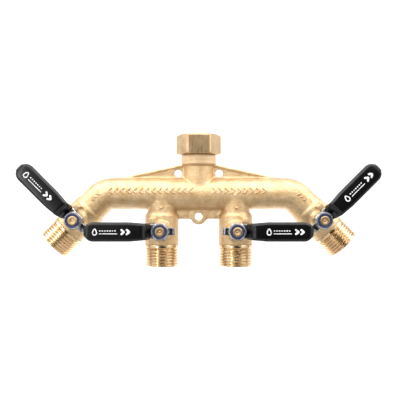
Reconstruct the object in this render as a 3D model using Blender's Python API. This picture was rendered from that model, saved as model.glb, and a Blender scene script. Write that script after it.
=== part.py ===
"""Four-way garden hose splitter with ball valves.

A brass casting carries a swivel hose nut on top and four quarter-turn ball valves below: two
straight down and two on arms at 45 degrees. Metres, +Z up, the valve levers face -Y. The origin
is the centre of the hose washer's upper face, where the tap's spout ends. The valves are closed.
"""

import math

import bmesh
import bpy
from mathutils import Matrix, Vector

MM = 0.001

# Clearances and facets
GAP = 0.3 * MM  # between pieces that touch on the real splitter
RUNNING = 0.1 * MM  # between a stem and what it turns in
OVERLAP = 1.0 * MM  # how far a joined or cutting shape runs past its neighbour
SIDES = 20  # facets round a turned piece
SMALL_SIDES = 16  # facets round the pieces inside a valve

# Garden hose thread, 3/4 inch with 11.5 threads to the inch
THREAD_PITCH = 25.4 / 11.5 * MM
THREAD_MAJOR_R = 13.45 * MM
THREAD_DEPTH = 1.35 * MM
THREAD_PLAY = 0.15 * MM  # the nut's thread is this much larger

# Manifold casting
TUBE_R = 12.6 * MM
GALLERY_R = 8.5 * MM
INNER_X = 29.4 * MM  # inner outlets, from the middle
ARM_TILT = math.radians(45)
BEND_INSIDE_R = 1.4 * MM  # inside of the bend into an arm
BEND_STEPS = 3
BALL_DISTANCE = 29.2 * MM  # from the tube's axis to a ball's centre
BRANCH_R = 11.3 * MM
SHOULDER = 2.2 * MM  # rounding where a branch widens into its valve housing
HOUSING_WALL = 3.8 * MM
THREADED_WALL = 1.7 * MM  # of the housing, round the outlet's screwed end
WEB_T = 3.2 * MM
RIM_T = 5.2 * MM  # bead along the upper edge of the webs
RIM_H = 1.8 * MM
WEB_REACH = 63.5 * MM  # where the upper webs run out on the tube
WEB_DROP = 7.4 * MM  # depth of the lower web under the tube
SCREW_R = 3.0 * MM
SCREW_EYE = 3.4 * MM  # metal round the lower screw hole
SCREW_EDGE = 1.9 * MM  # metal between an upper screw hole and the neck
SCREW_LIFT = 0.5 * MM  # metal between an upper screw hole and the tube
EYE_DROP = 2.6 * MM  # metal between the tube and the lower screw hole
NECK_R = 11.5 * MM
NECK_HEIGHT = 10.4 * MM  # cast neck above the tube
COLLAR_R = 13.9 * MM
COLLAR_HEIGHT = 7.8 * MM  # turned collar above the neck
INLET_BORE_R = 6.8 * MM

# Inlet
WASHER_T = 3.0 * MM
WASHER_BORE_R = 8.0 * MM
FLANGE_T = 1.8 * MM
TAIL_R = 9.9 * MM
TAIL_DEPTH = 9.5 * MM  # screwed length in the collar
TAIL_PLAY = 0.5 * MM  # round the tailpiece in the nut's lip
SOCKET_FLATS = 13.9 * MM  # hexagon key socket in the tailpiece
SOCKET_DEPTH = 5.0 * MM
LIP_T = 2.6 * MM
NUT_FLATS = 31.5 * MM
NUT_THREAD_L = 7.9 * MM
NUT_CHAMFER = 1.0 * MM

# Ball valve
BALL_R = 9.0 * MM
BALL_BORE_R = 5.6 * MM
SLOT_W = 4.3 * MM
SLOT_DEPTH = 2.4 * MM
SEAT_BORE_R = 6.3 * MM
SEAT_LIP = 1.1 * MM  # flat rim of a seat round its hollow face
SEAT_STEP = math.radians(20)  # most of the hollow that one facet spans, so it clears the ball
STEM_R = 4.35 * MM
STEM_SHOULDER_R = 5.9 * MM
STEM_SHOULDER_T = 2.0 * MM
THRUST_T = 0.9 * MM
BLADE_W = 7.4 * MM
BOSS_R = 8.0 * MM
BOSS_RISE = 3.2 * MM  # stem boss above the housing
O_RING_SECTION = 1.0 * MM
O_RING_SQUEEZE = 0.05 * MM  # gap left beside the ring on each side
SCREW_END_R = 3.95 * MM  # threaded end of the stem
STEM_FLATS = 6.0 * MM

# Lever, grip and lock nut
LEVER_T = 2.3 * MM
LEVER_LIFT = 0.6 * MM  # lever above the boss
LEVER_REACH = 57.8 * MM  # stem axis to the grip's tip
HUB_R = 6.6 * MM
HUB_HALF_W = 5.6 * MM  # lever beside the stop lug
NECK_HALF_W = 4.7 * MM
HANDLE_HALF_W = 5.9 * MM
BEND_START = 8.6 * MM
BEND_LENGTH = 5.4 * MM
BEND_RISE = 7.0 * MM
TAPER_END = 21.0 * MM  # where the handle reaches its full width
TAB_HALF_W = 3.6 * MM
TAB_REACH = 11.5 * MM
TAB_CLEARANCE = 0.8 * MM  # tab above the housing
GRIP_WALL = 1.2 * MM
GRIP_START = 9.2 * MM
GRIP_EDGE = 1.5 * MM  # bevel along the grip's edges
LOCK_FLATS = 13.0 * MM
LOCK_HEX_H = 5.5 * MM
LOCK_COLLAR_H = 2.5 * MM
LOCK_COLLAR_R = 6.2 * MM
LOCK_RIM = 0.5 * MM
INSERT_T = 1.8 * MM
STEM_PROUD = 0.6 * MM  # stem's end above the lock nut
TIP_CLEARANCE = 0.5 * MM  # inner lever's tip to the outer lock nut, along X

# Stop lug
LUG_OUT = 4.7 * MM  # along the lever
LUG_UP = 4.7 * MM  # along the branch
LUG_RISE = 2.0 * MM  # above the stem boss

# Outlet adapter
ADAPTER_FLOOR = 1.8 * MM  # behind the downstream seat, inside the housing
ADAPTER_COLLAR_R = 13.6 * MM
ADAPTER_COLLAR_L = 2.4 * MM
ADAPTER_CHAMFER = 0.7 * MM
RELIEF_L = 0.6 * MM
OUTLET_THREAD_L = 14.0 * MM
OUTLET_BORE_R = 7.6 * MM

# Fits that follow from the sizes above
BEND_R = TUBE_R + BEND_INSIDE_R  # centre line of the bend
SEAT_R = BALL_R + GAP
POCKET_R = SEAT_R + GAP
HOUSING_R = POCKET_R + HOUSING_WALL
SEAT_BACK = BALL_R  # a seat's back face, from the ball's centre
POCKET_FLOOR = SEAT_BACK + GAP
HOUSING_END = POCKET_FLOOR + ADAPTER_FLOOR
SHOULDER_BORE_R = STEM_SHOULDER_R + GAP
SCREWED_START = SHOULDER_BORE_R + GAP / 2
SCREWED_R = HOUSING_R - THREADED_WALL
ADAPTER_START = SHOULDER_BORE_R + 1.5 * GAP
ADAPTER_END = HOUSING_END + GAP + ADAPTER_COLLAR_L + RELIEF_L + OUTLET_THREAD_L
SHOULDER_BASE = BALL_R + GAP
SHOULDER_TOP = SHOULDER_BASE + STEM_SHOULDER_T
THRUST_BASE = SHOULDER_TOP + GAP
SHOULDER_ROOF = THRUST_BASE + THRUST_T + GAP
BOSS_TOP = max(HOUSING_R, SHOULDER_ROOF) + BOSS_RISE
LEVER_BASE = BOSS_TOP + LEVER_LIFT
LOCK_BASE = LEVER_BASE + LEVER_T + GAP
LOCK_COLLAR_BASE = LOCK_BASE + LOCK_HEX_H
LOCK_TOP = LOCK_COLLAR_BASE + LOCK_COLLAR_H
STEM_TOP = LOCK_TOP + STEM_PROUD
LOCK_CORNER_R = LOCK_FLATS / math.sqrt(3)
OUTER_STEM_X = INNER_X + LEVER_REACH + LOCK_CORNER_R + TIP_CLEARANCE
BEND_X = OUTER_STEM_X - BALL_DISTANCE * math.sin(ARM_TILT)
COLLAR_BASE = TUBE_R + NECK_HEIGHT
COLLAR_TOP = COLLAR_BASE + COLLAR_HEIGHT
NUT_MINOR_R = THREAD_MAJOR_R + THREAD_PLAY - THREAD_DEPTH
NUT_RECESS_R = NUT_MINOR_R + 2 * GAP
FLANGE_R = NUT_MINOR_R - GAP
WASHER_BASE = -WASHER_T
FLANGE_TOP = WASHER_BASE - GAP
FLANGE_BASE = FLANGE_TOP - FLANGE_T
LIP_TOP = FLANGE_BASE - GAP
NUT_BASE = LIP_TOP - LIP_T
TUBE_Z = NUT_BASE - GAP - COLLAR_TOP
TAIL_BASE = NUT_BASE - GAP - TAIL_DEPTH
LEVER_TIP = LEVER_REACH - GAP - GRIP_WALL

# Which way each lever points, and how far its branch leans from straight down
VALVES = {
    "outer_left": (-1, ARM_TILT),
    "inner_left": (-1, 0.0),
    "inner_right": (1, 0.0),
    "outer_right": (1, -ARM_TILT),
}


def clear_scene():
    """Empties the scene that Blender starts with."""
    for obj in list(bpy.data.objects):
        bpy.data.objects.remove(obj)


def make_material(name, colour, roughness, metallic):
    """One Principled surface for the whole of a piece."""
    material = bpy.data.materials.new(name)
    material.use_nodes = True
    shader = material.node_tree.nodes["Principled BSDF"]
    shader.inputs["Base Color"].default_value = (*colour, 1.0)
    shader.inputs["Roughness"].default_value = roughness
    shader.inputs["Metallic"].default_value = metallic
    return material


def mesh_from(bm, name):
    """Welds, closes and shades the shape, with its faces pointing out."""
    bmesh.ops.remove_doubles(bm, verts=bm.verts, dist=1e-7)
    bmesh.ops.recalc_face_normals(bm, faces=bm.faces)
    mesh = bpy.data.meshes.new(name)
    bm.to_mesh(mesh)
    bm.free()
    mesh.shade_smooth()
    mesh.set_sharp_from_angle(angle=math.radians(32))
    return mesh


def place(name, mesh, parent, material=None, matrix=None):
    """Adds an object that holds the mesh, under its parent."""
    obj = bpy.data.objects.new(name, mesh)
    bpy.context.scene.collection.objects.link(obj)
    obj.parent = parent
    obj.matrix_local = matrix or Matrix.Identity(4)
    if material:
        mesh.materials.clear()
        mesh.materials.append(material)
    return obj


def frame(name, parent, matrix):
    """An empty that carries the pieces of one axis."""
    return place(name, None, parent, matrix=matrix)


def spun(name, profile, sides=SIDES, turn=None):
    """Spins (radius, height) points about Z. Ends on the axis leave the profile open."""
    bm = bmesh.new()
    points = [bm.verts.new((radius, 0, height)) for radius, height in profile]
    pairs = list(zip(points, points[1:]))
    if profile[0][0] > 0:
        pairs.append((points[-1], points[0]))
    edges = [bm.edges.new(pair) for pair in pairs]
    bmesh.ops.spin(
        bm,
        geom=points + edges,
        cent=(0, 0, 0),
        axis=(0, 0, 1),
        angle=2 * math.pi,
        steps=sides,
        use_merge=True,
    )
    bm.transform(Matrix.Rotation(math.pi / sides, 4, "Z"))
    if turn:
        bm.transform(turn)
    return mesh_from(bm, name)


def extruded(name, outline, low, high):
    """Extrudes an outline of (x, z) points along Y."""
    bm = bmesh.new()
    face = bm.faces.new([bm.verts.new((x, low, z)) for x, z in outline])
    grown = bmesh.ops.extrude_face_region(bm, geom=[face])["geom"]
    moved = [item for item in grown if isinstance(item, bmesh.types.BMVert)]
    bmesh.ops.translate(bm, vec=(0, high - low, 0), verts=moved)
    return mesh_from(bm, name)


def block(name, low, high):
    """A box between two corners."""
    outline = [(low[0], low[2]), (high[0], low[2]), (high[0], high[2]), (low[0], high[2])]
    return extruded(name, outline, low[1], high[1])


def hexagon(name, flats, low, high):
    """A hexagonal prism along Z, its corners on the X axis."""
    bm = bmesh.new()
    radius = flats / math.sqrt(3)
    middle = Matrix.Translation((0, 0, (low + high) / 2)) @ Matrix.Rotation(math.pi / 6, 4, "Z")
    bmesh.ops.create_cone(
        bm,
        cap_ends=True,
        segments=6,
        radius1=radius,
        radius2=radius,
        depth=high - low,
        matrix=middle,
    )
    return mesh_from(bm, name)


def lofted(name, rings):
    """Skins a row of rings that have the same number of points, and caps its ends."""
    bm = bmesh.new()
    loops = [[bm.verts.new(point) for point in ring] for ring in rings]
    for before, after in zip(loops, loops[1:]):
        for i in range(len(before)):
            j = (i + 1) % len(before)
            bm.faces.new((before[i], before[j], after[j], after[i]))
    bm.faces.new(loops[0])
    bm.faces.new(loops[-1])
    return mesh_from(bm, name)


def helper(name, mesh, parent, matrix=None):
    """A shape that only joins or cuts another, so it isn't a piece itself."""
    obj = place(name, mesh, parent, matrix=matrix)
    obj.hide_render = True
    obj.display_type = "WIRE"
    return obj


def combine(obj, operation, others):
    """Joins the other shapes to the object, or cuts them from it."""
    group = bpy.data.collections.new(f"{obj.name}_{operation.lower()}")
    group.hide_render = True
    bpy.context.scene.collection.children.link(group)
    for other in others:
        bpy.context.scene.collection.objects.unlink(other)
        group.objects.link(other)
    modifier = obj.modifiers.new(operation.title(), "BOOLEAN")
    modifier.operation = operation
    modifier.operand_type = "COLLECTION"
    modifier.collection = group
    modifier.solver = "EXACT"


def thread(crest, root, start, end):
    """Thread ridges from start to end, as profile points with a crest in each pitch."""
    step = math.copysign(THREAD_PITCH / 2, end - start)
    count = int(abs(end - start) / THREAD_PITCH)
    points = []
    for turn in range(count):
        points.append((crest, start + (2 * turn + 1) * step))
        points.append((root, start + (2 * turn + 2) * step))
    return points


def swept_tube(name, radius, arm):
    """A tube along the manifold: up one arm, through its bend, across and down the other arm."""
    tangent = BEND_R * math.tan(ARM_TILT / 2)
    down = Vector((math.sin(ARM_TILT), 0, -math.cos(ARM_TILT)))
    stations = [(Vector((BEND_X, 0, 0)) + down * arm, ARM_TILT)]
    for i in range(BEND_STEPS + 1):
        angle = ARM_TILT * (1 - i / BEND_STEPS)
        swing = Vector((math.sin(angle), 0, math.cos(angle))) * BEND_R
        stations.append((Vector((BEND_X - tangent, 0, -BEND_R)) + swing, angle))
    mirrored = [(Vector((-middle.x, 0, middle.z)), -angle) for middle, angle in reversed(stations)]
    rings = []
    for middle, angle in stations + mirrored:
        facing = Matrix.Translation(middle) @ Matrix.Rotation(angle, 4, "Y")
        ring = []
        for i in range(SIDES):
            around = 2 * math.pi * i / SIDES
            across = Vector((0, radius * math.cos(around), radius * math.sin(around)))
            ring.append(facing @ across)
        rings.append(ring)
    return lofted(name, rings)


def housing_profile(start):
    """A branch and its valve housing, above and below the ball's centre."""
    top = BALL_DISTANCE - start
    shoulder = POCKET_FLOOR + SHOULDER
    return [
        (0, top),
        (BRANCH_R, top),
        (BRANCH_R, shoulder + SHOULDER),
        (BRANCH_R + 0.7 * (HOUSING_R - BRANCH_R), shoulder + 0.3 * SHOULDER),
        (HOUSING_R, shoulder - 0.5 * SHOULDER),
        (HOUSING_R, -HOUSING_END),
        (0, -HOUSING_END),
    ]


def build_manifold(materials, root, valve_frames):
    """The casting: tube, arms, housings, stem bosses, stop lugs, neck, collar and webs."""
    body_mesh = swept_tube("manifold_body", TUBE_R, BALL_DISTANCE - POCKET_FLOOR - SHOULDER)
    body = place("manifold_body", body_mesh, root, materials["cast_brass"])
    joins = []
    cuts = []

    for name, (side, tilt) in VALVES.items():
        valve, stem = valve_frames[name]
        start = BEND_R / 2 + OVERLAP if tilt else 0.0
        joins.append(helper(f"{name}_housing", spun("housing", housing_profile(start)), valve))
        boss = [(0, 0), (BOSS_R, 0), (BOSS_R, BOSS_TOP), (0, BOSS_TOP)]
        joins.append(helper(f"{name}_boss", spun("boss", boss, sides=SMALL_SIDES), stem))
        lug_x = (side * (TAB_HALF_W + GAP), side * (TAB_HALF_W + GAP + LUG_OUT))
        lug_low = (min(lug_x), HUB_HALF_W + GAP, BALL_R)
        lug_high = (max(lug_x), HUB_HALF_W + GAP + LUG_UP, BOSS_TOP + LUG_RISE)
        joins.append(helper(f"{name}_lug", block("lug", lug_low, lug_high), stem))

        pocket = [
            (0, BALL_DISTANCE),
            (SEAT_BORE_R, BALL_DISTANCE),
            (SEAT_BORE_R, POCKET_FLOOR),
            (POCKET_R, POCKET_FLOOR),
            (POCKET_R, -SCREWED_START),
            (SCREWED_R, -SCREWED_START),
            (SCREWED_R, -HOUSING_END - OVERLAP),
            (0, -HOUSING_END - OVERLAP),
        ]
        cuts.append(helper(f"{name}_pocket", spun("pocket", pocket), valve))
        stem_bore = [
            (0, 0),
            (SHOULDER_BORE_R, 0),
            (SHOULDER_BORE_R, SHOULDER_ROOF),
            (STEM_R + RUNNING, SHOULDER_ROOF),
            (STEM_R + RUNNING, BOSS_TOP + OVERLAP),
            (0, BOSS_TOP + OVERLAP),
        ]
        cuts.append(helper(f"{name}_stem_bore", spun("stem_bore", stem_bore, sides=SMALL_SIDES), stem))

    neck = [
        (0, 0),
        (NECK_R, 0),
        (NECK_R, COLLAR_BASE - (COLLAR_R - NECK_R) / 2),
        (COLLAR_R, COLLAR_BASE),
        (COLLAR_R, COLLAR_TOP),
        (0, COLLAR_TOP),
    ]
    joins.append(helper("neck", spun("neck", neck), root))

    web_top = COLLAR_BASE + OVERLAP
    web_foot = TUBE_R - 0.4 * MM
    slope = (web_top - web_foot) / (WEB_REACH - COLLAR_R)
    web = [
        (-WEB_REACH, web_foot),
        (-COLLAR_R, web_top),
        (COLLAR_R, web_top),
        (WEB_REACH, web_foot),
        (WEB_REACH - OVERLAP, TUBE_R / 2),
        (OVERLAP - WEB_REACH, TUBE_R / 2),
    ]
    joins.append(helper("upper_web", extruded("upper_web", web, -WEB_T / 2, WEB_T / 2), root))
    for side in (-1, 1):
        inner = NECK_R - OVERLAP
        outer = WEB_REACH - OVERLAP
        rise = web_top + slope * (COLLAR_R - inner)
        drop = web_top + slope * (COLLAR_R - outer)
        rim = [
            (side * inner, rise + 0.1 * MM),
            (side * outer, drop + 0.1 * MM),
            (side * outer, drop - RIM_H),
            (side * inner, rise - RIM_H),
        ]
        joins.append(helper(f"rim_{side}", extruded("rim", rim, -RIM_T / 2, RIM_T / 2), root))

    eye_z = -(TUBE_R + EYE_DROP + SCREW_R)
    low_web = [(-INNER_X, -TUBE_R - WEB_DROP), (INNER_X, -TUBE_R - WEB_DROP)]
    low_web += [(INNER_X, -TUBE_R / 2), (-INNER_X, -TUBE_R / 2)]
    joins.append(helper("lower_web", extruded("lower_web", low_web, -WEB_T / 2, WEB_T / 2), root))
    eye_turn = Matrix.Rotation(math.pi / 2, 4, "X")
    eye_half = WEB_T / 2 + 0.1 * MM
    eye = [(0, -eye_half), (SCREW_R + SCREW_EYE, -eye_half), (SCREW_R + SCREW_EYE, eye_half)]
    eye.append((0, eye_half))
    eye_place = Matrix.Translation((0, 0, eye_z))
    eye_mesh = spun("screw_eye", eye, sides=SMALL_SIDES, turn=eye_turn)
    joins.append(helper("screw_eye", eye_mesh, root, eye_place))

    screw = [(0, -TUBE_R), (SCREW_R, -TUBE_R), (SCREW_R, TUBE_R), (0, TUBE_R)]
    upper_x = NECK_R + SCREW_EDGE + SCREW_R
    upper_z = TUBE_R + SCREW_LIFT + SCREW_R
    for i, (x, z) in enumerate([(-upper_x, upper_z), (upper_x, upper_z), (0, eye_z)]):
        hole = spun("screw_hole", screw, sides=SMALL_SIDES, turn=eye_turn)
        cuts.append(helper(f"screw_hole_{i}", hole, root, Matrix.Translation((x, 0, z))))

    cuts.append(helper("gallery", swept_tube("gallery", GALLERY_R, BALL_DISTANCE / 2), root))
    inlet_floor = COLLAR_TOP - TAIL_DEPTH - GAP
    inlet = [
        (0, 0),
        (INLET_BORE_R, 0),
        (INLET_BORE_R, inlet_floor),
        (TAIL_R + GAP, inlet_floor),
        (TAIL_R + GAP, COLLAR_TOP + OVERLAP),
        (0, COLLAR_TOP + OVERLAP),
    ]
    cuts.append(helper("inlet_bore", spun("inlet_bore", inlet), root))
    combine(body, "UNION", joins)
    combine(body, "DIFFERENCE", cuts)


def build_inlet(materials):
    """Tailpiece, swivel nut and hose washer, on the vertical axis."""
    washer = [
        (WASHER_BORE_R, 0),
        (FLANGE_R, 0),
        (FLANGE_R, WASHER_BASE),
        (WASHER_BORE_R, WASHER_BASE),
    ]
    place("hose_washer", spun("hose_washer", washer), None, materials["rubber"])

    tail = [
        (INLET_BORE_R, FLANGE_TOP),
        (FLANGE_R, FLANGE_TOP),
        (FLANGE_R, FLANGE_BASE),
        (TAIL_R, FLANGE_BASE),
        (TAIL_R, TAIL_BASE + OVERLAP),
        (TAIL_R - OVERLAP, TAIL_BASE),
        (INLET_BORE_R, TAIL_BASE),
    ]
    tailpiece = place("inlet_tailpiece", spun("tailpiece", tail), None, materials["turned_brass"])
    socket = hexagon("socket", SOCKET_FLATS, FLANGE_TOP - SOCKET_DEPTH, FLANGE_TOP + OVERLAP)
    combine(tailpiece, "DIFFERENCE", [helper("key_socket", socket, None)])

    nut_mesh = hexagon("swivel_nut", NUT_FLATS, NUT_BASE, NUT_THREAD_L)
    nut = place("swivel_nut", nut_mesh, None, materials["turned_brass"])
    bore = [(0, NUT_BASE - OVERLAP), (TAIL_R + TAIL_PLAY, NUT_BASE - OVERLAP)]
    bore += [(TAIL_R + TAIL_PLAY, LIP_TOP), (NUT_RECESS_R, LIP_TOP)]
    bore += [(NUT_RECESS_R, -GAP), (NUT_MINOR_R, GAP)]
    thread_top = NUT_THREAD_L - NUT_CHAMFER
    bore += thread(NUT_MINOR_R + THREAD_DEPTH, NUT_MINOR_R, GAP, thread_top)
    bore += [(NUT_MINOR_R, thread_top), (NUT_MINOR_R + 2 * NUT_CHAMFER, NUT_THREAD_L + NUT_CHAMFER)]
    bore += [(0, NUT_THREAD_L + NUT_CHAMFER)]
    combine(nut, "DIFFERENCE", [helper("nut_bore", spun("nut_bore", bore), None)])


def lever_width(along):
    """Half the lever's width at a distance from the stem axis: hub, neck, taper, round tip."""
    if along < -HUB_R * 0.8:
        return TAB_HALF_W
    if along < 0:
        return math.sqrt(HUB_R**2 - along**2)
    if along < HUB_R * 0.5:
        return math.sqrt(HUB_R**2 - along**2)
    if along < BEND_START - OVERLAP:
        return HUB_HALF_W
    share = min(1.0, max(0.0, (along - BEND_START) / (TAPER_END - BEND_START)))
    width = NECK_HALF_W + (HANDLE_HALF_W - NECK_HALF_W) * share
    past = along - (LEVER_TIP - HANDLE_HALF_W)
    if past > 0:
        width = math.sqrt(max(HANDLE_HALF_W**2 - past**2, (0.25 * HANDLE_HALF_W) ** 2))
    return width


def lever_base(along):
    """Height of the lever's underside: flat hub, sloping bend, flat handle."""
    share = min(1.0, max(0.0, (along - BEND_START) / BEND_LENGTH))
    return LEVER_BASE + BEND_RISE * share


def handle_stations(start):
    """Distances along the handle where its outline turns."""
    bend_end = BEND_START + BEND_LENGTH
    round_start = LEVER_TIP - HANDLE_HALF_W
    stations = [start, bend_end, TAPER_END, round_start]
    for step in (0.35, 0.65, 0.87, 1.0):
        stations.append(round_start + HANDLE_HALF_W * step)
    return stations


def build_lever_mesh():
    """Pressed steel lever with a round hub, and a tongue bent down to meet the stop lug."""
    rings = []

    def add(along, half_width, base):
        top = lever_base(along) + LEVER_T
        corners = [(half_width, base), (-half_width, base), (-half_width, top), (half_width, top)]
        rings.append([(along, across, height) for across, height in corners])

    tongue_base = HOUSING_R + TAB_CLEARANCE
    add(-TAB_REACH, TAB_HALF_W, tongue_base)
    add(LEVER_T - TAB_REACH, TAB_HALF_W, tongue_base)
    add(LEVER_T - TAB_REACH + 0.3 * MM, TAB_HALF_W, LEVER_BASE)
    for along in [-0.81 * HUB_R, -0.8 * HUB_R, -0.4 * HUB_R, 0.0, 0.49 * HUB_R, 0.55 * HUB_R]:
        add(along, lever_width(along), LEVER_BASE)
    add(BEND_START - OVERLAP - 0.01 * MM, HUB_HALF_W, LEVER_BASE)
    for along in handle_stations(BEND_START):
        add(along, lever_width(along), lever_base(along))
    return lofted("lever", rings)


def grip_ring(along, margin, edge):
    """Cross-section of the grip, or of the hollow in it, a margin outside the lever."""
    half = lever_width(along) + margin
    low = lever_base(along) - margin
    high = lever_base(along) + LEVER_T + margin
    corners = [
        (half, low + edge),
        (half, high - edge),
        (half - edge, high),
        (edge - half, high),
        (-half, high - edge),
        (-half, low + edge),
        (edge - half, low),
        (half - edge, low),
    ]
    if edge == 0:
        corners = [(half, low), (half, high), (-half, high), (-half, low)]
    return [(across, height) for across, height in corners]


def grip_shell(name, start, margin, edge):
    """A sleeve shape round the handle, its tip a margin past the lever's."""
    rings = []
    for along in handle_stations(start):
        tip_share = max(0.0, (along - (LEVER_TIP - HANDLE_HALF_W)) / HANDLE_HALF_W)
        place_x = along + margin * tip_share
        rings.append([(place_x, across, height) for across, height in grip_ring(along, margin, edge)])
    return lofted(name, rings)


def build_ball_mesh():
    """A ball whose waterway runs along X, faceted round that axis."""
    reach = math.sqrt(BALL_R**2 - BALL_BORE_R**2)
    edge_angle = math.atan2(reach, BALL_BORE_R)
    steps = 6
    profile = []
    for i in range(steps + 1):
        angle = edge_angle * (2 * i / steps - 1)
        profile.append((BALL_R * math.cos(angle), BALL_R * math.sin(angle)))
    return spun("ball", profile, sides=SMALL_SIDES, turn=Matrix.Rotation(math.pi / 2, 4, "Y"))


def build_seat_mesh():
    """A seat ring above the ball, hollowed to its radius and a gap clear of it."""
    hollow_r = BALL_R + GAP
    rim_r = SEAT_R - SEAT_LIP
    bore_angle = math.asin(SEAT_BORE_R / hollow_r)
    rim_angle = math.asin(rim_r / hollow_r)
    steps = math.ceil((rim_angle - bore_angle) / SEAT_STEP)
    profile = []
    for i in range(steps + 1):
        angle = bore_angle + (rim_angle - bore_angle) * i / steps
        profile.append((hollow_r * math.sin(angle), hollow_r * math.cos(angle)))
    profile += [
        (SEAT_R, hollow_r * math.cos(rim_angle)),
        (SEAT_R, SEAT_BACK),
        (SEAT_BORE_R, SEAT_BACK),
    ]
    return spun("seat", profile, sides=SMALL_SIDES)


def build_stem_mesh():
    """Stem: inner shoulder, O-ring groove, shank, and the end that takes lever and lock nut."""
    groove_r = STEM_R - O_RING_SECTION - O_RING_SQUEEZE
    groove_mid = (SHOULDER_ROOF + BOSS_TOP) / 2
    groove_half = O_RING_SECTION / 2 + 2 * O_RING_SQUEEZE
    profile = [
        (0, SHOULDER_BASE),
        (STEM_SHOULDER_R, SHOULDER_BASE),
        (STEM_SHOULDER_R, SHOULDER_TOP),
        (STEM_R, SHOULDER_TOP),
        (STEM_R, groove_mid - groove_half),
        (groove_r, groove_mid - groove_half),
        (groove_r, groove_mid + groove_half),
        (STEM_R, groove_mid + groove_half),
        (STEM_R, BOSS_TOP + GAP),
        (SCREW_END_R, BOSS_TOP + GAP),
        (SCREW_END_R, STEM_TOP - 0.5 * MM),
        (SCREW_END_R - 0.5 * MM, STEM_TOP),
        (0, STEM_TOP),
    ]
    return spun("stem", profile, sides=SMALL_SIDES)


def build_adapter_mesh():
    """Outlet adapter: screwed end round the seat, collar, relief and hose thread."""
    relief_top = -(HOUSING_END + GAP + ADAPTER_COLLAR_L)
    thread_top = relief_top - RELIEF_L
    root = THREAD_MAJOR_R - THREAD_DEPTH
    profile = [
        (POCKET_R, -ADAPTER_START),
        (POCKET_R, -POCKET_FLOOR),
        (SEAT_BORE_R, -POCKET_FLOOR),
        (SEAT_BORE_R, relief_top),
        (OUTLET_BORE_R, relief_top - (OUTLET_BORE_R - SEAT_BORE_R)),
        (OUTLET_BORE_R, -ADAPTER_END),
        (root, -ADAPTER_END),
    ]
    profile += thread(THREAD_MAJOR_R, root, -ADAPTER_END, thread_top)
    profile += [
        (root, relief_top),
        (ADAPTER_COLLAR_R, relief_top),
        (ADAPTER_COLLAR_R, -(HOUSING_END + GAP + ADAPTER_CHAMFER)),
        (ADAPTER_COLLAR_R - ADAPTER_CHAMFER, -(HOUSING_END + GAP)),
        (SCREWED_R - GAP, -(HOUSING_END + GAP)),
        (SCREWED_R - GAP, -ADAPTER_START),
    ]
    return spun("adapter", profile)


def build_o_ring_mesh():
    """O-ring in the stem's groove."""
    section = O_RING_SECTION / 2
    middle_r = STEM_R - section
    middle = (SHOULDER_ROOF + BOSS_TOP) / 2
    points = []
    for i in range(6):
        angle = math.pi * i / 3
        points.append((middle_r + section * math.cos(angle), middle + section * math.sin(angle)))
    return spun("o_ring", points, sides=SMALL_SIDES)


def build_valve_meshes():
    """The meshes that all four valves share."""
    thrust = [(STEM_R + GAP, THRUST_BASE), (STEM_SHOULDER_R, THRUST_BASE)]
    thrust += [(STEM_SHOULDER_R, THRUST_BASE + THRUST_T), (STEM_R + GAP, THRUST_BASE + THRUST_T)]
    insert_r = LOCK_COLLAR_R - LOCK_RIM - RUNNING
    insert = [(SCREW_END_R + RUNNING, LOCK_TOP - INSERT_T - GAP), (insert_r, LOCK_TOP - INSERT_T - GAP)]
    insert += [(insert_r, LOCK_TOP - GAP), (SCREW_END_R + RUNNING, LOCK_TOP - GAP)]
    return {
        "ball": build_ball_mesh(),
        "seat": build_seat_mesh(),
        "thrust_washer": spun("thrust_washer", thrust, sides=SMALL_SIDES),
        "stem": build_stem_mesh(),
        "stem_o_ring": build_o_ring_mesh(),
        "lever": build_lever_mesh(),
        "grip": grip_shell("grip", GRIP_START, GAP + GRIP_WALL, GRIP_EDGE),
        "lock_nut": hexagon("lock_nut", LOCK_FLATS, LOCK_BASE, LOCK_COLLAR_BASE),
        "nylon_insert": spun("nylon_insert", insert, sides=SMALL_SIDES),
        "outlet_adapter": build_adapter_mesh(),
    }


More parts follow.
